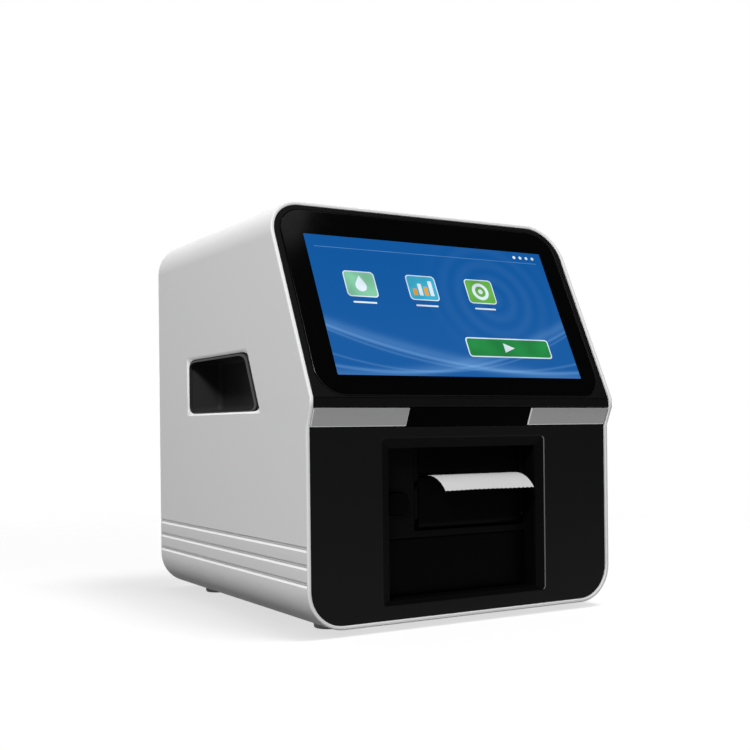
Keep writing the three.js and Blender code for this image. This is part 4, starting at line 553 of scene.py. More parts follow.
def loft(rings, joined):
    """Points and faces of a body through rings of equal count, joined end to end or capped."""
    count = len(rings[0])
    points = [point for ring in rings for point in ring]
    faces = []
    pairs = list(zip(range(len(rings)), range(1, len(rings))))
    if joined:
        pairs.append((len(rings) - 1, 0))
    for low, high in pairs:
        for i in range(count):
            j = (i + 1) % count
            faces.append((low * count + i, low * count + j, high * count + j, high * count + i))
    if not joined:
        faces.append(tuple(reversed(range(count))))
        last = (len(rings) - 1) * count
        faces.append(tuple(range(last, last + count)))
    return points, faces


def linked(name, data):
    """New object of the scene at the origin."""
    made = bpy.data.objects.new(name, data)
    bpy.context.scene.collection.objects.link(made)
    return made


def even_shading(piece, smooth, weight=50):
    """Smooth shading up to an angle in degrees, led by the large faces."""
    piece.data.shade_smooth()
    piece.data.set_sharp_from_angle(angle=math.radians(smooth))
    weighted = piece.modifiers.new("Even shading", "WEIGHTED_NORMAL")
    weighted.keep_sharp = True
    weighted.weight = weight


def finish_piece(name, mesh, look, smooth=40.0):
    """Object of a finished mesh in one material."""
    piece = linked(name, mesh)
    mesh.materials.clear()
    mesh.materials.append(bpy.data.materials[look])
    even_shading(piece, smooth)
    return piece


def new_piece(name, points, faces, look, smooth=40.0):
    """Mesh object at the origin, merged, facing outwards and smooth up to an angle."""
    mesh = bpy.data.meshes.new(name)
    mesh.from_pydata([tuple(point) for point in points], [], faces)
    shape = bmesh.new()
    shape.from_mesh(mesh)
    bmesh.ops.remove_doubles(shape, verts=shape.verts, dist=1e-7)
    bmesh.ops.recalc_face_normals(shape, faces=shape.faces)
    shape.to_mesh(mesh)
    shape.free()
    return finish_piece(name, mesh, look, smooth)


def lofted(name, rings, look, smooth=40.0, joined=False):
    """Piece through rings of equal count."""
    return new_piece(name, *loft(rings, joined), look, smooth)


def settle(piece, body, slot, *nodes):
    """Puts a piece on its body, in the place of the solids that it stands for."""
    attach(piece, body)
    if nodes:
        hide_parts(*nodes)
    return piece


def node_body(node):
    for body, members in frame["record"]["behaviour"]["bodies"].items():
        if node in members:
            return body
    raise RuntimeError("no body holds " + node)


def node_slot(node):
    for part in frame["record"]["subparts"]:
        if part["node"] == node:
            return part["material_slot"]
    raise RuntimeError("no material slot for " + node)


def softened(node, look, width, segments=2):
    """Copy of a solid with its sharp edges rounded by a width in millimetres, standing for it."""
    shape = bmesh.new()
    shape.from_mesh(frame["nodes"][node].data)
    bmesh.ops.remove_doubles(shape, verts=shape.verts, dist=2e-6)
    bmesh.ops.dissolve_limit(
        shape,
        angle_limit=math.radians(0.8),
        use_dissolve_boundaries=False,
        verts=shape.verts,
        edges=shape.edges,
    )
    sharp = [
        edge
        for edge in shape.edges
        if len(edge.link_faces) == 2 and edge.calc_face_angle(0.0) > math.radians(30)
    ]
    bmesh.ops.bevel(
        shape,
        geom=sharp,
        offset=width * MM,
        offset_type="OFFSET",
        segments=segments,
        profile=0.5,
        affect="EDGES",
        clamp_overlap=True,
    )
    mesh = bpy.data.meshes.new(node + "_soft")
    shape.to_mesh(mesh)
    shape.free()
    piece = finish_piece(node + "_soft", mesh, look, smooth=50.0)
    return settle(piece, node_body(node), node_slot(node), node)


def soften_all(*rows):
    """Rounded copies of solids, from rows of node, look and width."""
    for row in rows:
        softened(*row)
    return {"FINISHED"}


def grip_ring(margin, x, rounding=(4.0, 1.0), top=None, front=None):
    """Outline of a grip opening, grown by a margin, at a place across the width."""
    radius, stretch = rounding
    foot = GRIP_FOOT - margin
    head = GRIP_TOP + (margin if top is None else top)
    start = GRIP_FRONT_FOOT - (margin if front is None else front)
    corners = [
        Vector((start + (foot - GRIP_FOOT) * GRIP_SLOPE, foot)),
        Vector((GRIP_REAR + margin, foot)),
        Vector((GRIP_REAR + margin, head)),
        Vector((start + (head - GRIP_FOOT) * GRIP_SLOPE, head)),
    ]
    ring = []
    for i, corner in enumerate(corners):
        reach = (radius, radius * stretch) if i % 2 == 0 else (radius * stretch, radius)
        before = (corners[i - 1] - corner).normalized() * reach[0] + corner
        after = (corners[(i + 1) % 4] - corner).normalized() * reach[1] + corner
        for k in range(GRIP_STEPS + 1):
            t = k / GRIP_STEPS
            point = before * (1 - t) ** 2 + corner * 2 * t * (1 - t) + after * t**2
            ring.append(shell_point(x, point.x, point.y))
    return ring


def section_stations(steps):
    """Points round the casing's section with their outward normals and groove depth, from the foot."""
    stations = []

    def corner(cx, cz, start):
        for nx, nz in arc(0, 0, 1, start, start + 90, steps):
            stations.append((cx + CORNER_RADIUS * nx, cz + CORNER_RADIUS * nz, nx, nz, 0.0))

    heights = [(bend, 0.0) for bend in (BAND_FOOT, BROW_FOOT, BROW_TOP)]
    for groove in GROOVE_HEIGHTS:
        heights += [(groove + step, share) for step, share in GROOVE_PROFILE]
    heights = sorted(h for h in heights if h[0] > CORNER_RADIUS + 0.01)
    x, z = HALF_WIDTH - CORNER_RADIUS, CORNER_RADIUS
    corner(x, z, -90)
    stations += [(HALF_WIDTH, h, 1.0, 0.0, share) for h, share in heights]
    corner(x, CASING_HEIGHT - z, 0)
    corner(-x, CASING_HEIGHT - z, 90)
    stations += [(-HALF_WIDTH, h, -1.0, 0.0, share) for h, share in reversed(heights)]
    corner(-x, z, 180)
    return stations


def plain_mesh(owner):
    """Mesh of an object with its modifiers applied."""
    bpy.context.view_layer.update()
    return bpy.data.meshes.new_from_object(
        owner.evaluated_get(bpy.context.evaluated_depsgraph_get())
    )


def cut_away(piece, cutter):
    """Boolean difference, applied to the piece's mesh; the cutter is removed."""
    piece.modifiers.clear()
    tool = piece.modifiers.new("Cut", "BOOLEAN")
    tool.operation = "DIFFERENCE"
    tool.solver = "EXACT"
    tool.object = cutter
    made = plain_mesh(piece)
    piece.modifiers.clear()
    old = piece.data
    piece.data = made
    bpy.data.meshes.remove(old)
    bpy.data.objects.remove(cutter)


def screw_tree():
    """Geometry Nodes tree that puts a cross-head screw on every point of a mesh."""
    tree = bpy.data.node_groups.new("Cross-head screws", "GeometryNodeTree")
    sockets = tree.interface
    sockets.new_socket(name="Places", in_out="INPUT", socket_type="NodeSocketGeometry")
    sockets.new_socket(name="Screws", in_out="OUTPUT", socket_type="NodeSocketGeometry")
    for label in SCREW_LENGTHS:
        socket = sockets.new_socket(name=label, in_out="INPUT", socket_type="NodeSocketFloat")
        socket.subtype = "DISTANCE"
    sockets.new_socket(name="Facing", in_out="INPUT", socket_type="NodeSocketRotation")
    sockets.new_socket(name="Material", in_out="INPUT", socket_type="NodeSocketMaterial")
    short = Tree(tree)
    given = short.add("NodeGroupInput").outputs
    out = short.add("NodeGroupOutput").inputs
    radius, height, width, deep = (given[label] for label in SCREW_LENGTHS)
    dome = short.made("GeometryNodeMeshUVSphere", {"Segments": 24, "Rings": 12, "Radius": radius})
    flat = short.vector(1, 1, short.over(height, radius))
    head = short.made("GeometryNodeTransform", {"Geometry": dome, "Scale": flat})
    cross = short.add("GeometryNodeMeshBoolean", operation="DIFFERENCE")
    short.feed(cross.inputs["Mesh 1"], head)
    length = short.times(radius, 1.15)
    tall = short.times(deep, 2.0)
    raised = short.vector(0, 0, height)
    for across in ((length, width), (width, length)):
        bar = short.made("GeometryNodeMeshCube", {"Size": short.vector(*across, tall)})
        placed = short.made("GeometryNodeTransform", {"Geometry": bar, "Translation": raised})
        short.feed(cross.inputs["Mesh 2"], placed)
    inputs = {"Points": given["Places"], "Instance": cross.outputs["Mesh"], "Rotation": given["Facing"]}
    spread = short.made("GeometryNodeInstanceOnPoints", inputs)
    chance = short.made("FunctionNodeRandomValue", {3: 1.5, "Seed": 7}, 1, data_type="FLOAT")
    inputs = {"Instances": spread, "Rotation": short.vector(0, 0, chance)}
    turned = short.made("GeometryNodeRotateInstances", inputs)
    real = short.made("GeometryNodeRealizeInstances", {0: turned})
    inputs = {"Geometry": real, "Material": given["Material"]}
    short.feed(out["Screws"], short.made("GeometryNodeSetMaterial", inputs))
    return tree


def screws(name, tree, places, turn, lengths):
    """Plain mesh of the screws that the tree makes on a set of points."""
    mesh = bpy.data.meshes.new(name + "_places")
    mesh.from_pydata([tuple(place) for place in places], [], [])
    base = linked(name + "_places", mesh)
    tool = base.modifiers.new("Strew", "NODES")
    tool.node_group = tree
    values = {label: length * MM for label, length in zip(SCREW_LENGTHS, lengths)}
    values["Facing"] = (math.radians(turn), 0, 0)
    values["Material"] = bpy.data.materials["plated_screw"]
    for socket in tree.interface.items_tree:
        if socket.name in values:
            tool[socket.identifier] = values[socket.name]
    made = plain_mesh(base)
    bpy.data.objects.remove(base)
    piece = finish_piece(name, made, "plated_screw")
    piece.modifiers.clear()
    settle(piece, "analyzer_body", "alloy")


class OBJECT_OT_analyzer_finishes(bpy.types.Operator):
    """Makes the shared shader groups and every material"""

    bl_idname = "object.analyzer_finishes"
    bl_label = "Finishes"

    def execute(self, context):
        colours = sizes("colours")
        moulded_grain()
        brushed_lines()
        soft_bands()
        plastic("satin_white_shell", colours.shell, 0.55, 0.45, 0.006, 0.3, tone=0.02)
        for row in (
            ("satin_black_moulding", colours.black, 0.36, 0.4, 0.008, 0.05),
            ("black_bezel", (0.0068, 0.0068, 0.007), 0.32, 0.4, 0.006, 0.06),
            # painted highlight: lighter grey line for light caught on the opening's right outer edge
            ("worn_edge", grey(0.13), 0.5, 0.6, 0.004, 0.1),
            # painted shade: darker black for the opening's bevel, the recess liner and the printer
            # frame, on parts that are really black
            ("matt_black_tub", grey(0.0014), 0.55, 0.4, 0.01, 0.05),
            ("grip_black", grey(0.03), 0.5, 0.4, 0.01, 0.08),
            # painted highlight: lighter grey for the crest of the black grip lip
            ("lip_grey", grey(0.07), 0.45, 0.4, 0.01, 0.1),
            # painted highlight: near-white for grip bevels and groove lips that face up or forward
            ("clean_white_edge", grey(0.95), 0.3, 0.45, 0.003, 0.5),
            # painted shade: darkest black for the drawer front, printer door, tear bar and button in
            # the recess, on parts that are really black
            ("deep_black_panel", grey(0.0007), 0.4, 0.5, 0.006, 0.03),
            ("gloss_black_bar", grey(0.0006), 0.14, 4.0, 0.004, 0.01),
            ("dark_grey_plastic", (0.03, 0.032, 0.035), 0.5, 0.4, 0.02, 0.35),
            ("natural_acetal", (0.62, 0.6, 0.53), 0.42, 0.4, 0.02, 0.5),
            ("soft_rubber", grey(0.012), 0.8, 0.6, 0.04, 0.2),
            ("pale_rubber", grey(0.8), 0.75, 0.6, 0.04, 0.2),
            ("solder_mask", (0.012, 0.09, 0.045), 0.35, 1.2, 0.01, 0.5),
            ("thermal_paper", colours.paper, 0.75, 0.5, 0.02, 0.2),
        ):
            plastic(*row)
        for row in (
            ("brushed_trim", colours.trim, 0.42, (0.012, 1.0, 1.0), 3200.0, 0.35),
            ("bright_cut_edge", grey(0.5), 0.3, (0.012, 1.0, 1.0), 3200.0, 0.15),
            ("machined_alloy", (0.62, 0.63, 0.64), 0.34, (0.05, 1.0, 1.0), 2500.0, 0.25),
            ("plated_sheet", (0.5, 0.51, 0.52), 0.38, (1.0, 0.12, 0.3), 900.0, 0.12),
            ("plated_screw", (0.58, 0.58, 0.6), 0.3, (1.0, 1.0, 1.0), 1500.0, 0.2),
        ):
            metal(*row)
        self.add_glass()
        self.add_lights()
        return {"FINISHED"}

    @staticmethod
    def add_glass():
        """Polished dark glass with a trace of finger film in its gloss."""
        surfaced(
            *material("black_glass", Specular_IOR_Level=0.35),
            "Moulded grain",
            Grain_Size=0.02,
            Roughness=0.1,
            Gloss_Change=0.05,
            Color=(0.0009, 0.0009, 0.0010, 1),
            Tone_Change=0.1,
        )

    @staticmethod
    def add_lights():
        """The lit picture and the lit colours of what stands on it."""
        picture = sizes("picture")
        short, sockets = lit_material("lit_picture")
        bands = grouped(short, "Soft bands", Picture=(*picture.sky, 1), Glow=(*picture.glow, 1))
        short.feed(sockets["Emission Color"], bands["Color"])
        glowing("lit_cyan", (0.05, 0.42, 0.62))
        glowing("lit_leaf", (0.13, 0.42, 0.07))
        glowing("lit_mint", (0.22, 0.55, 0.36))
        glowing("lit_button", tuple(picture.button))
        glowing("lit_pale", (0.72, 0.82, 0.92))
        glowing("lit_amber", (0.75, 0.36, 0.05))
        glowing("lit_faint", (0.10, 0.26, 0.55))


class OBJECT_OT_analyzer_casing(bpy.types.Operator):
    """Builds the white wrap-round casing with its grooves and grip openings"""

    bl_idname = "object.analyzer_casing"
    bl_label = "Casing"

    def execute(self, context):
        casing = sizes("casing")
        depth = casing.groove_depth / MM
        stations = section_stations(casing.corner_steps)
        profile = self.rim_profile(casing.rim_round / MM)
        ends = [("front", *row) for row in profile]
        ends += [("rear", *row) for row in reversed(profile)]
        rings = []
        for end, inset, back, cut in ends:
            ring = []
            for x, z, nx, nz, share in stations:
                inward = inset + depth * share * cut
                y = front_line(z) + back if end == "front" else CASING_DEPTH - back
                ring.append(shell_point(x - nx * inward, y, z - nz * inward))
            rings.append(ring)
        shell = lofted("casing_shell", rings, "satin_white_shell", 32, joined=True)
        bevel = casing.grip_bevel / MM
        for side in (-1, 1):
            rings = [
                grip_ring(0.0, side * (HALF_WIDTH - 6), SOFT_CORNER, -1.5),
                grip_ring(0.0, side * (HALF_WIDTH - bevel), SOFT_CORNER, -1.5),
                grip_ring(bevel, side * HALF_WIDTH, CRISP_CORNER, 0.3),
                grip_ring(bevel * 2, side * (HALF_WIDTH + bevel), CRISP_CORNER, 2.1),
            ]
            cut_away(shell, lofted("grip_cutter", rings, "satin_white_shell"))
        self.dress_edges(shell.data, bevel)
        even_shading(shell, 32, weight=100)
        settle(shell, "analyzer_body", "casing", "outer_casing")
        return {"FINISHED"}

    @staticmethod
    def rim_profile(radius):
        """Inset, setback and share of the grooves, from a rim's inner face to the outer face."""
        chamfer = 0.35
        profile = [(WALL, chamfer, 0), (WALL - chamfer, 0.0, 0)]
        profile += [(radius * inset, radius * back, 0) for inset, back in quarter(4)]
        return profile + [(0.0, radius + 0.2, 0), (0.0, radius + 0.6, 1)]

    @staticmethod
    def dress_edges(mesh, bevel):
        """Black on the openings' inner walls, and a painted highlight in near-white on the lips that
        face up or forward.
        """
        black = len(mesh.materials)
        white = black + 1
        mesh.materials.append(bpy.data.materials["grip_black"])
        mesh.materials.append(bpy.data.materials["clean_white_edge"])
        for polygon in mesh.polygons:
            x, y, z = shell_place(polygon)
            nx, ny, nz = polygon.normal
            depth = HALF_WIDTH - abs(x)
            beside = GRIP_FRONT_FOOT - 6 < y < GRIP_REAR + 4 and GRIP_FOOT - 4 < z < GRIP_TOP + 4
            if beside and bevel < depth < WALL + 0.3 and abs(nx) < 0.3:
                polygon.material_index = black
            # painted highlight: bevel faces that face up or forward take near-white
            elif beside and 0.02 < depth < bevel and (nz > 0.2 or ny < -0.2):
                polygon.material_index = white
            # painted highlight: groove lips that face upwards take near-white
            elif z < GROOVE_HEIGHTS[0] + 4 and depth < 1.5 and 0.3 < nz < 0.95:
                polygon.material_index = white


class OBJECT_OT_analyzer_grips(bpy.types.Operator):
    """Builds the dark cups behind the grip openings"""

    bl_idname = "object.analyzer_grips"
    bl_label = "Grip cups"

    def execute(self, context):
        mouth = HALF_WIDTH - INNER_FACE
        deep = mouth - GRIP_DEPTH
        floor_round = 3
        rows = [(-1.5 - floor_round * a, deep + floor_round * b) for a, b in quarter(4)]
        rows += [
            (0.0, mouth - 0.3),
            (0.3, mouth),
            (4.3, mouth),
            (4.5, mouth - 0.2),
            (4.5, mouth - 1.6),
            (1.6, mouth - 1.6),
            (0.1, deep - 0.6),
            (-0.9, deep - 1.6),
        ]
        for name, side in (("left_grip", -1), ("right_grip", 1)):
            rings = [grip_ring(margin, side * x) for margin, x in rows]
            cup = lofted(name + "_cup_moulding", rings, "grip_black")
            settle(cup, "analyzer_body", "black_plastic", name + "_cup")
            self.add_lip(name + "_lip", side)
        return {"FINISHED"}

    @staticmethod
    def add_lip(name, side):
        """Raised lip in a cup's mouth, wide at the front and narrow behind."""
        crest, web, back = (side * (HALF_WIDTH - depth) for depth in (0.9, 1.9, 2.4))
        rings = [
            grip_ring(margin, x, SOFT_CORNER, top, front)
            for margin, x, top, front in (
                (-0.05, back, -1.55, None),
                (-0.05, web, -1.55, None),
                (-0.2, web, -2.1, -3.4),
                (-0.2, crest, -2.1, -3.4),
                (-0.5, crest, -3.1, -6.2),
                (-0.5, back, -3.1, -6.2),
            )
        ]
        lip = lofted(name, rings, "grip_black", 30, joined=True)
        # painted highlight: the crest faces take a lighter grey than the rest of the black lip
        lip.data.materials.append(bpy.data.materials["lip_grey"])
        for polygon in lip.data.polygons:
            if abs(abs(polygon.center.x) - abs(crest) * MM) < 0.01 * MM:
                polygon.material_index = 1
        settle(lip, "analyzer_body", "black_plastic")


class OBJECT_OT_analyzer_screen(bpy.types.Operator):
    """Builds the black bezel, the glass and the lit picture on it"""

    bl_idname = "object.analyzer_screen"
    bl_label = "Screen"

    def execute(self, context):
        self.build_bezel()
        self.build_glass()
        self.build_picture()
        return {"FINISHED"}

    @staticmethod
    def glass_ring(margin, n, steps):
        """Outline of the glass, grown by a margin, at a height out of the slope."""
        box = (-GLASS_HALF - margin, GLASS_HALF + margin, GLASS_FOOT - margin, GLASS_TOP + margin)
        outline = rounded_outline(box, GLASS_CORNER + margin, steps)
        return [slope_point(x, s, n) for x, s in outline]

    def build_bezel(self):
        steps = 12
        edge = HALF_WIDTH - INNER_FACE
        top = (CASING_HEIGHT - INNER_FACE - BROW_TOP) / math.sin(SLOPE_ANGLE)
        round_x = CORNER_RADIUS - INNER_FACE
        round_s = round_x / math.sin(SLOPE_ANGLE)

        def outer(inset, back):
            ring = []
            for x, s in rounded_outline((-1, 1, -1, 1), (0.0, 0.0, 0.5, 0.5), steps):
                if s > 0:
                    px = edge - inset - (1 - abs(x)) / 0.5 * (round_x - inset)
                    ps = top - inset - (1 - s) / 0.5 * (round_s - inset)
                else:
                    px = edge - inset
                    ps = inset * 0.6
                point = slope_point(math.copysign(px, x), ps, 0)
                point.y += back * MM
                ring.append(point)
            return ring

        def lip(y, z):
            ring = []
            for point in outer(0.0, y - front_line(BROW_TOP) - FASCIA_SETBACK):
                if point.z < shell_point(0, 0, BROW_TOP + 0.4).z:
                    point = Vector((point.x, *shell_point(0, y, z).yz))
                ring.append(point)
            return ring

        face = FASCIA_SETBACK - BROW_REACH
        rings = [
            self.glass_ring(GAP, -2.2, steps),
            self.glass_ring(GAP, -0.25, steps),
            self.glass_ring(GAP + 0.2, 0.0, steps),
            outer(0.5, 0.0),
            outer(0.15, 0.12),
            outer(0.0, 0.4),
            lip(face, 108.75),
            lip(face + 0.3, 108.4),
            lip(face + 3, 108.4),
            lip(face + 3, 111.0),
        ]
        bezel = lofted("screen_bezel_moulding", rings, "black_bezel", 35, joined=True)
        settle(bezel, "analyzer_body", "black_plastic", "screen_bezel")

    def build_glass(self):
        radius = sizes("front").glass_round / MM
        rows = [(0.2, -GLASS_THICKNESS), (0.0, -GLASS_THICKNESS + 0.2)]
        rows += [(radius * b, -radius * a) for a, b in quarter(5)]
        rows += [(radius + 0.2, 0.0), (2.5, 0.0)]
        rings = [self.glass_ring(-inset, n, 16) for inset, n in rows]
        glass = lofted("touch_glass_sheet", rings, "black_glass", 60)
        settle(glass, "analyzer_body", "screen_glass", "touch_glass")

    @staticmethod
    def slab(name, outline, high, look):
        """Thin lit shape on the glass from an outline across and up the slope."""
        rings = [[slope_point(x, s, n) for x, s in outline] for n in (PICTURE_SEAT, high)]
        piece = lofted(name, rings, look, 30)
        piece.modifiers.clear()
        settle(piece, "analyzer_body", "display")

    def tile(self, name, box, radius, steps, high, look):
        """Thin lit rectangle with rounded corners."""
        self.slab(name, rounded_outline(box, radius, steps), high, look)

    def build_picture(self):
        row = sizes("picture").icon_row / MM
        self.tile("lit_picture_sheet", (-76.5, 77.5, 12.4, 95.0), 0.4, 3, 0.02, "lit_picture")
        for place, look in ((-50, "lit_mint"), (-12, "lit_cyan"), (26, "lit_leaf")):
            name = "icon_tile_" + look[4:]
            box = (place - 9.3, place + 9.3, row - 7.8, row + 7.8)
            self.tile(name + "_edge", box, 2.2, 5, 0.04, "lit_pale")
            box = (place - 8.7, place + 8.7, row - 7.2, row + 7.2)
            self.tile(name, box, 1.8, 5, 0.06, look)
            box = (place - 7, place + 7, row - 11.6, row - 10.6)
            self.tile(name + "_label", box, 0.4, 3, 0.04, "lit_pale")
        drop = [(-50.0, row + 5.2)] + arc(-50, row - 1.2, 3.3, 152, 388, 18)
        self.slab("icon_drop", drop, 0.08, "lit_pale")
        for i, height in enumerate((4.2, 7.4, 5.6, 9.4)):
            left = -18.4 + i * 3.5
            box = (left, left + 2.4, row - 4.8, row - 4.8 + height)
            self.tile("icon_bar_%d" % i, box, 0.3, 2, 0.08, "lit_pale" if i % 2 else "lit_amber")
        self.slab("icon_disc", arc(26, row, 5.4, 0, 352, 40), 0.08, "lit_pale")
        self.slab("icon_disc_ring", arc(26, row, 3.4, 0, 352, 32), 0.09, "lit_leaf")
        self.slab("icon_disc_hub", arc(26, row, 1.5, 0, 348, 24), 0.1, "lit_pale")
        self.tile("wide_button_edge", (6, 62, 24.5, 36.5), 2.0, 5, 0.04, "lit_pale")
        self.tile("wide_button", (6.7, 61.3, 25.2, 35.8), 1.5, 5, 0.06, "lit_button")
        arrow = [(30.5, 27.6), (37.5, 30.5), (30.5, 33.4)]
        self.slab("wide_button_arrow", arrow, 0.08, "lit_pale")
        self.tile("status_line", (-72, 73, 87.6, 87.9), 0.1, 2, 0.04, "lit_faint")
        for i in range(4):
            dot = arc(58 + 4.4 * i, 91.2, 1.0, 0, 345, 20)
            self.slab("status_dot_%d" % i, dot, 0.04, "lit_pale")


class OBJECT_OT_analyzer_front(bpy.types.Operator):
    """Builds the lower front moulding with its bevelled opening, and the trim band"""

    bl_idname = "object.analyzer_front"
    bl_label = "Lower front"

    def execute(self, context):
        front = sizes("front")
        edge_round = front.edge_round / MM
        mouth_corner = front.mouth_corner / MM
        steps = 10
        face = FASCIA_SETBACK
        left, right, foot, top = MOUTH

        def mouth(share, y, shrink=0.0):
            side, low, high = (grow * share - shrink for grow in (5.2, 2.5, 5.5))
            radius = 0.4 + (mouth_corner - 0.4) * share
            box = (left - side, right + side, foot - low, top + high)
            return [shell_point(x, y, z) for x, z in rounded_outline(box, radius, steps)]

        def outer(inset, y):
            edge = HALF_WIDTH - INNER_FACE - inset
            low = CORNER_RADIUS - INNER_FACE - inset
            box = (-edge, edge, INNER_FACE + inset, BAND_FOOT - inset)
            outline = rounded_outline(box, (low, low, 0.05, 0.05), steps)
            return [shell_point(x, y, z) for x, z in outline]

        rings = [
            mouth(0, face + FASCIA_WALL),
            mouth(0, face + 2.15),
            mouth(0.03, face + 2.0),
            mouth(0.9, face + 0.42),
            mouth(1.0, face + 0.14),
            mouth(1.0, face, shrink=-0.2),
            outer(edge_round, face),
            outer(edge_round * 0.3, face + edge_round * 0.3),
            outer(0.0, face + edge_round),
            outer(0.0, face + FASCIA_WALL),
        ]
        panel = lofted("lower_front_moulding", rings, "satin_black_moulding", 35, joined=True)
        self.dress_opening(panel.data, face)
        settle(panel, "analyzer_body", "black_plastic", "lower_front_panel")
        for node in ("silver_band_left", "silver_band_right"):
            self.cut_bright(softened(node, "brushed_trim", 0.75, 1).data)
        # painted shade: the recess liner takes the darker black
        return soften_all(
            ("band_centre_plate", "gloss_black_bar", 0.2), ("recess_liner", "matt_black_tub", 0.3)
        )

    @staticmethod
    def dress_opening(mesh, face):
        """Matt black as painted shade on the opening's bevel, and a painted highlight line on its right
        outer edge.
        """
        mesh.materials.append(bpy.data.materials["matt_black_tub"])
        mesh.materials.append(bpy.data.materials["worn_edge"])
        left, right, foot, top = MOUTH
        for polygon in mesh.polygons:
            x, y, z = shell_place(polygon)
            inside = left - 6 < x < right + 6 and foot - 3 < z < top + 6
            depth = y - face
            if not inside or depth > FASCIA_WALL - 0.01:
                continue
            # painted shade: the bevel going into the recess takes a darker black than the rest of the
            # moulding
            if depth >= 0.36:
                polygon.material_index = 1
            # painted highlight: the right outer rounding of the opening takes a lighter grey
            elif depth > 0.2 and x > right + 4:
                polygon.material_index = 2

    @staticmethod
    def cut_bright(mesh):
        """Bright-cut chamfers round a brushed trim band."""
        mesh.materials.append(bpy.data.materials["bright_cut_edge"])
        forward = [polygon for polygon in mesh.polygons if polygon.normal.y < -0.5]
        facing = max(forward, key=lambda polygon: polygon.area).normal.copy()
        for polygon in mesh.polygons:
            if 0.2 < polygon.normal.dot(facing) < 0.98:
                polygon.material_index = 1


class OBJECT_OT_analyzer_printer(bpy.types.Operator):
    """Builds the strip printer, its paper and its button"""

    bl_idname = "object.analyzer_printer"
    bl_label = "Printer"

    def execute(self, context):
        self.build_strip()
        return soften_all(
            # painted shade: the printer frame in the recess takes the darker black
            ("printer_frame", "matt_black_tub", 0.3),
            # painted shade: door, tear bar and button in the recess take the darkest black
            ("printer_door", "deep_black_panel", 0.4),
            ("door_hinge_pin", "machined_alloy", 0.15),
            ("platen_roller", "soft_rubber", 0.1),
            ("printer_gear", "natural_acetal", 0.1),
            ("thermal_head", "machined_alloy", 0.3),
            ("tear_bar", "deep_black_panel", 0.12),
            ("paper_roll", "thermal_paper", 0.2),
            ("release_button", "deep_black_panel", 0.4),
            ("button_guide", "dark_grey_plastic", 0.25),
        )

    @staticmethod
    def strip_line():
        """Side view of the paper: straight over the roller, then a curl down to its end."""
        foot = PLATEN_HEIGHT + PLATEN_RADIUS + 0.15
        reach, drop = 15.2, 7.4
        control = [
            Vector((RECESS_DEPTH - reach * along, foot - drop * down))
            for along, down in ((0, 0), (0.4, 0), (0.8, 0.4), (1, 1))
        ]
        line = [Vector((19.0, foot)), Vector((15.5, foot))]
        for i in range(25):
            t = i / 24
            weights = ((1 - t) ** 3, 3 * t * (1 - t) ** 2, 3 * t * t * (1 - t), t**3)
            line.append(sum((w * p for w, p in zip(weights, control)), Vector((0, 0))))
        return line

    def build_strip(self):
        """Paper that comes over the roller and curls down at its torn end."""
        line = self.strip_line()
        last = len(line) - 1
        across = 40
        points = []
        for lift in (0.0, 0.12):
            for k in range(across + 1):
                x = PAPER_CENTRE - PAPER_WIDTH / 2 + PAPER_WIDTH * k / across
                for i, point in enumerate(line):
                    tooth = 0.35 if k % 2 and i == last else 0.0
                    share = max(0.0, (i - 4) / (last - 4))
                    wave = 0.12 * math.sin(x * 0.11 + 1.0) * share
                    y = point.x + tooth * 0.6
                    points.append(shell_point(x, y, point.y + wave + tooth + lift))
        count = last + 1
        level = (across + 1) * count
        faces = []
        for k in range(across):
            for i in range(last):
                a = k * count + i
                b = a + count
                faces.append((a, a + 1, b + 1, b))
                faces.append((level + a, level + b, level + b + 1, level + a + 1))
        for i in range(last):
            for a in (i, across * count + i):
                faces.append((a, a + 1, level + a + 1, level + a))
        for k in range(across):
            for a in (k * count, k * count + last):
                faces.append((a, a + count, level + a + count, level + a))
        strip = new_piece("paper_strip_sheet", points, faces, "thermal_paper")
        settle(strip, "printer_door", "paper", "paper_strip")


class OBJECT_OT_analyzer_drawer(bpy.types.Operator):
    """Builds the disc drawer with its rack, pinion, motor and rails"""

    bl_idname = "object.analyzer_drawer"
    bl_label = "Disc drawer"

    def execute(self, context):
        return soften_all(
            # painted shade: the drawer front in the recess takes the darkest black
            ("drawer_front", "deep_black_panel", 0.5, 3),
            ("drawer_tray", "dark_grey_plastic", 0.3),
            ("drawer_rack", "natural_acetal", 0.08),
            ("tray_pinion", "natural_acetal", 0.08),
            ("tray_motor", "plated_sheet", 0.4),
            ("motor_bracket", "plated_sheet", 0.3),
            ("left_rail", "machined_alloy", 0.3),
            ("right_rail", "machined_alloy", 0.3),
            ("spindle_motor", "plated_sheet", 0.5),
            ("spindle_hub", "machined_alloy", 0.15),
        )


class OBJECT_OT_analyzer_station(bpy.types.Operator):
    """Builds the measuring station over and under the disc"""

    bl_idname = "object.analyzer_station"
    bl_label = "Measuring station"

    def execute(self, context):
        return soften_all(
            ("warm_plate", "machined_alloy", 0.4),
            ("photometer_block", "dark_grey_plastic", 0.3),
            ("lamp_housing", "dark_grey_plastic", 0.3),
            ("code_reader", "dark_grey_plastic", 0.3),
        )


class OBJECT_OT_analyzer_inside(bpy.types.Operator):
    """Builds the chassis, the boards, the supply and the display behind the glass"""

    bl_idname = "object.analyzer_inside"
    bl_label = "Chassis and electronics"

    def execute(self, context):
        return soften_all(
            ("front_left_foot", "pale_rubber", 0.4),
            ("front_right_foot", "pale_rubber", 0.4),
            ("rear_left_foot", "pale_rubber", 0.4),
            ("rear_right_foot", "pale_rubber", 0.4),
            ("chassis_plate", "plated_sheet", 0.3),
            ("board_bracket", "plated_sheet", 0.25),
            ("main_board", "solder_mask", 0.15),
            ("power_supply", "plated_sheet", 0.4),
            ("lcd_panel", "dark_grey_plastic", 0.3),
            ("lcd_bracket", "plated_sheet", 0.25),
        )


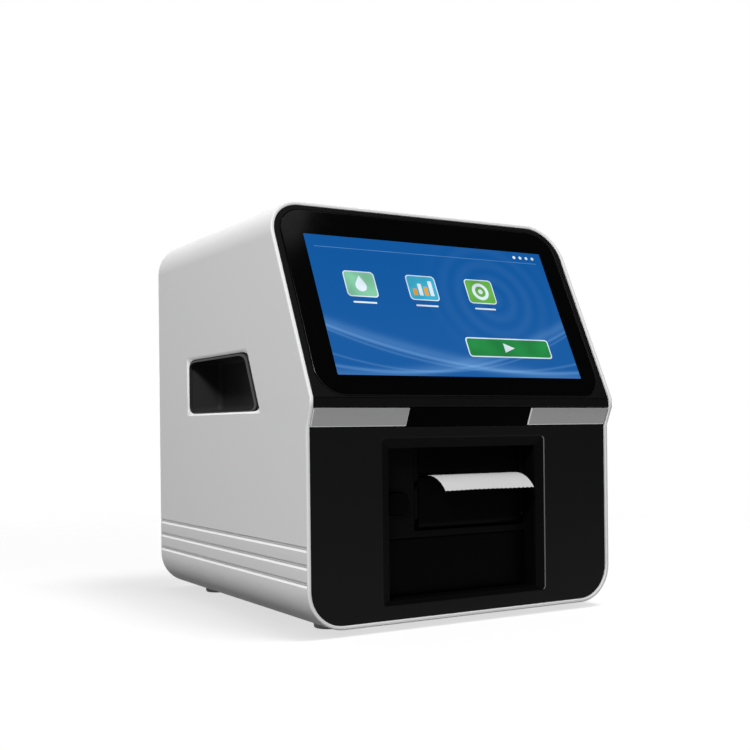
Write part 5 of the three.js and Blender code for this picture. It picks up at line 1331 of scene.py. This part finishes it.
class OBJECT_OT_analyzer_rear(bpy.types.Operator):
    """Builds the rear panel with its fan, inlet, switch and sockets"""

    bl_idname = "object.analyzer_rear"
    bl_label = "Rear"

    def execute(self, context):
        soften_all(
            ("rear_panel", "plated_sheet", 0.25),
            ("fan_frame", "dark_grey_plastic", 0.4),
            ("fan_rotor", "satin_black_moulding", 0.2),
            ("power_inlet", "satin_black_moulding", 0.3),
            ("switch_housing", "satin_black_moulding", 0.3),
            ("power_rocker", "satin_black_moulding", 0.4),
            ("usb_ports", "machined_alloy", 0.15),
            ("network_port", "machined_alloy", 0.2),
        )
        tree = screw_tree()
        face = CASING_DEPTH - 5.2
        panel = [shell_point(x, face, z) for x in (-86.5, 86.5) for z in (26, 108, 190)]
        panel += [shell_point(x, face, z) for x in (-46, 46) for z in (9, 207.4)]
        panel += [shell_point(40 + dx, face, 150 + dz) for dx in (-25, 25) for dz in (-25, 25)]
        under = [shell_point(x, y, 0) for x in (-52, 52) for y in (16, 104, 192)]
        screws("rear_screws", tree, panel, -90, (2.5, 1.3, 0.7, 0.8))
        screws("underside_screws", tree, under, 180, (2.8, 1.4, 0.8, 0.9))
        return {"FINISHED"}


class OBJECT_OT_analyzer_stage(bpy.types.Operator):
    """Adds the pale floor, the soft lamps, the room light and the camera"""

    bl_idname = "object.analyzer_stage"
    bl_label = "Stage"

    def execute(self, context):
        stage = sizes("stage")
        floor = self.add_floor()
        self.add_room(stage)
        self.add_lamps(stage, floor)
        self.add_camera(stage)
        context.scene.view_settings.view_transform = "Standard"
        return {"FINISHED"}

    @staticmethod
    def add_floor():
        """Pale floor that keeps the shadow and melts into the white room further out."""
        short, sockets = material("pale_floor", Specular_IOR_Level=0.0)
        path = short.add("ShaderNodeLightPath").outputs
        shown = short.maths("MAXIMUM", path["Is Camera Ray"], path["Is Transmission Ray"])
        shown = short.maths("MAXIMUM", shown, path["Is Glossy Ray"])
        tone = short.blend(shown, FLOOR_UNSEEN, FLOOR_SEEN)
        surfaced(short, sockets, "Moulded grain", Color=tone, Roughness=0.9, Tone_Change=0.01)
        sockets["Emission Color"].default_value = (1, 1, 1, 1)
        short.feed(sockets["Emission Strength"], short.times(shown, FLOOR_GLOW))
        away = short.made("ShaderNodeVectorMath", {0: short.place()}, "Value", operation="LENGTH")
        short.feed(sockets["Alpha"], short.spread(away, *FLOOR_FADE, 1.0, 0.0, smooth=True))
        sides = ((-1, -1), (1, -1), (1, 1), (-1, 1))
        mesh = bpy.data.meshes.new("floor")
        mesh.from_pydata([(x * FLOOR_HALF, y * FLOOR_HALF, 0) for x, y in sides], [], [(0, 1, 2, 3)])
        mesh.materials.append(bpy.data.materials["pale_floor"])
        floor = linked("floor", mesh)
        return floor

    @staticmethod
    def add_room(stage):
        """White for the camera; a studio with a dim side behind the camera for glossy surfaces."""
        world = bpy.data.worlds.new("Pale room")
        bpy.context.scene.world = world
        world.use_nodes = True
        short = Tree(world.node_tree)
        background = world.node_tree.nodes["Background"]
        background.inputs["Color"].default_value = (1, 1, 1, 1)
        ahead = (math.sin(stage.camera_yaw), math.cos(stage.camera_yaw), 0.0)
        inputs = {0: short.add("ShaderNodeTexCoord").outputs["Generated"], 1: ahead}
        along = short.made("ShaderNodeVectorMath", inputs, "Value", operation="DOT_PRODUCT")
        studio = short.spread(along, 0.2, 0.65, stage.dim_side, 1.0, smooth=True)
        path = short.add("ShaderNodeLightPath").outputs
        shown = short.maths("MAXIMUM", path["Is Camera Ray"], path["Is Transmission Ray"])
        lit = short.spread(path["Is Glossy Ray"], 0.0, 1.0, stage.room_light, studio)
        short.feed(background.inputs["Strength"], short.spread(shown, 0.0, 1.0, lit, 1.0))

    @staticmethod
    def add_lamps(stage, floor):
        """Lamps by place, aim and size; the last word keeps a lamp off the floor or on it alone."""
        for name, place, aim, size, link in (
            ("overhead", (-0.13, -0.08, 1.5), (-0.13, -0.08, 0), (1.54, 1.36), "EXCLUDE"),
            ("key", (0.12, -1.24, 1.32), LAMP_AIM, (0.7, 0.7), None),
            ("left", (-1.2, -1.2, 1.41), LAMP_AIM, (0.45, 0.45), "EXCLUDE"),
            ("rear", (0.2, 2.1, 1.4), LAMP_AIM, (1.2, 0.6), "EXCLUDE"),
            ("floor", (0.62, -0.85, 3.4), LAMP_AIM, (1.0, 1.0), "INCLUDE"),
        ):
            data = bpy.data.lights.new(name + "_lamp", "AREA")
            data.shape = "RECTANGLE"
            data.size, data.size_y = size
            data.energy = getattr(stage, name + "_power")
            lamp = linked(name + "_lamp", data)
            lamp.location = place
            ray = Vector(aim) - Vector(place)
            lamp.rotation_euler = ray.to_track_quat("-Z", "Y").to_euler()
            if link:
                group = bpy.data.collections.new(lamp.name + "_floor")
                group.objects.link(floor)
                lamp.light_linking.receiver_collection = group
                group.collection_objects[0].light_linking.link_state = link

    @staticmethod
    def add_camera(stage):
        data = bpy.data.cameras.new("photo_camera")
        data.lens = stage.lens
        data.sensor_width = 36.0
        data.shift_x, data.shift_y = CAMERA_SHIFT
        data.clip_start = 0.01
        camera = linked("photo_camera", data)
        yaw, pitch, roll = stage.camera_yaw, stage.camera_pitch, stage.camera_roll
        ahead = Vector(
            (math.sin(yaw) * math.cos(pitch), math.cos(yaw) * math.cos(pitch), math.sin(pitch))
        )
        turn = ahead.to_track_quat("-Z", "Y").to_matrix() @ Matrix.Rotation(roll, 3, "Z")
        place = turn.to_4x4()
        place.translation = Vector(stage.camera_place)
        camera.matrix_world = place
        bpy.context.scene.camera = camera


STEPS = (
    OBJECT_OT_analyzer_finishes,
    OBJECT_OT_analyzer_casing,
    OBJECT_OT_analyzer_grips,
    OBJECT_OT_analyzer_screen,
    OBJECT_OT_analyzer_front,
    OBJECT_OT_analyzer_printer,
    OBJECT_OT_analyzer_drawer,
    OBJECT_OT_analyzer_station,
    OBJECT_OT_analyzer_inside,
    OBJECT_OT_analyzer_rear,
    OBJECT_OT_analyzer_stage,
)

SETTINGS = {
    "casing": CasingSizes,
    "front": FrontSizes,
    "colours": FinishColours,
    "picture": PictureColours,
    "stage": StageSettings,
}


class VIEW3D_PT_analyzer(bpy.types.Panel):
    """Lists the settings and the steps of the build"""

    bl_idname = "VIEW3D_PT_analyzer"
    bl_label = "Analyzer"
    bl_space_type = "VIEW_3D"
    bl_region_type = "UI"
    bl_category = "Analyzer"

    def draw(self, context):
        layout = self.layout
        for name in SETTINGS:
            box = layout.box()
            box.label(text=name.capitalize())
            group = sizes(name)
            for field in group.bl_rna.properties.keys():
                if field not in ("rna_type", "name"):
                    box.prop(group, field)
        for step in STEPS:
            layout.operator(step.bl_idname)


def register():
    for group in SETTINGS.values():
        bpy.utils.register_class(group)
    for name, group in SETTINGS.items():
        setattr(bpy.types.Scene, "analyzer_" + name, PointerProperty(type=group))
    for step in STEPS:
        bpy.utils.register_class(step)
    bpy.utils.register_class(VIEW3D_PT_analyzer)


def unregister():
    bpy.utils.unregister_class(VIEW3D_PT_analyzer)
    for step in reversed(STEPS):
        bpy.utils.unregister_class(step)
    for name in SETTINGS:
        delattr(bpy.types.Scene, "analyzer_" + name)
    for group in reversed(list(SETTINGS.values())):
        bpy.utils.unregister_class(group)


def main():
    register()
    for step in STEPS:
        area, name = step.bl_idname.split(".")
        getattr(getattr(bpy.ops, area), name)()


if __name__ == "__main__":
    main()
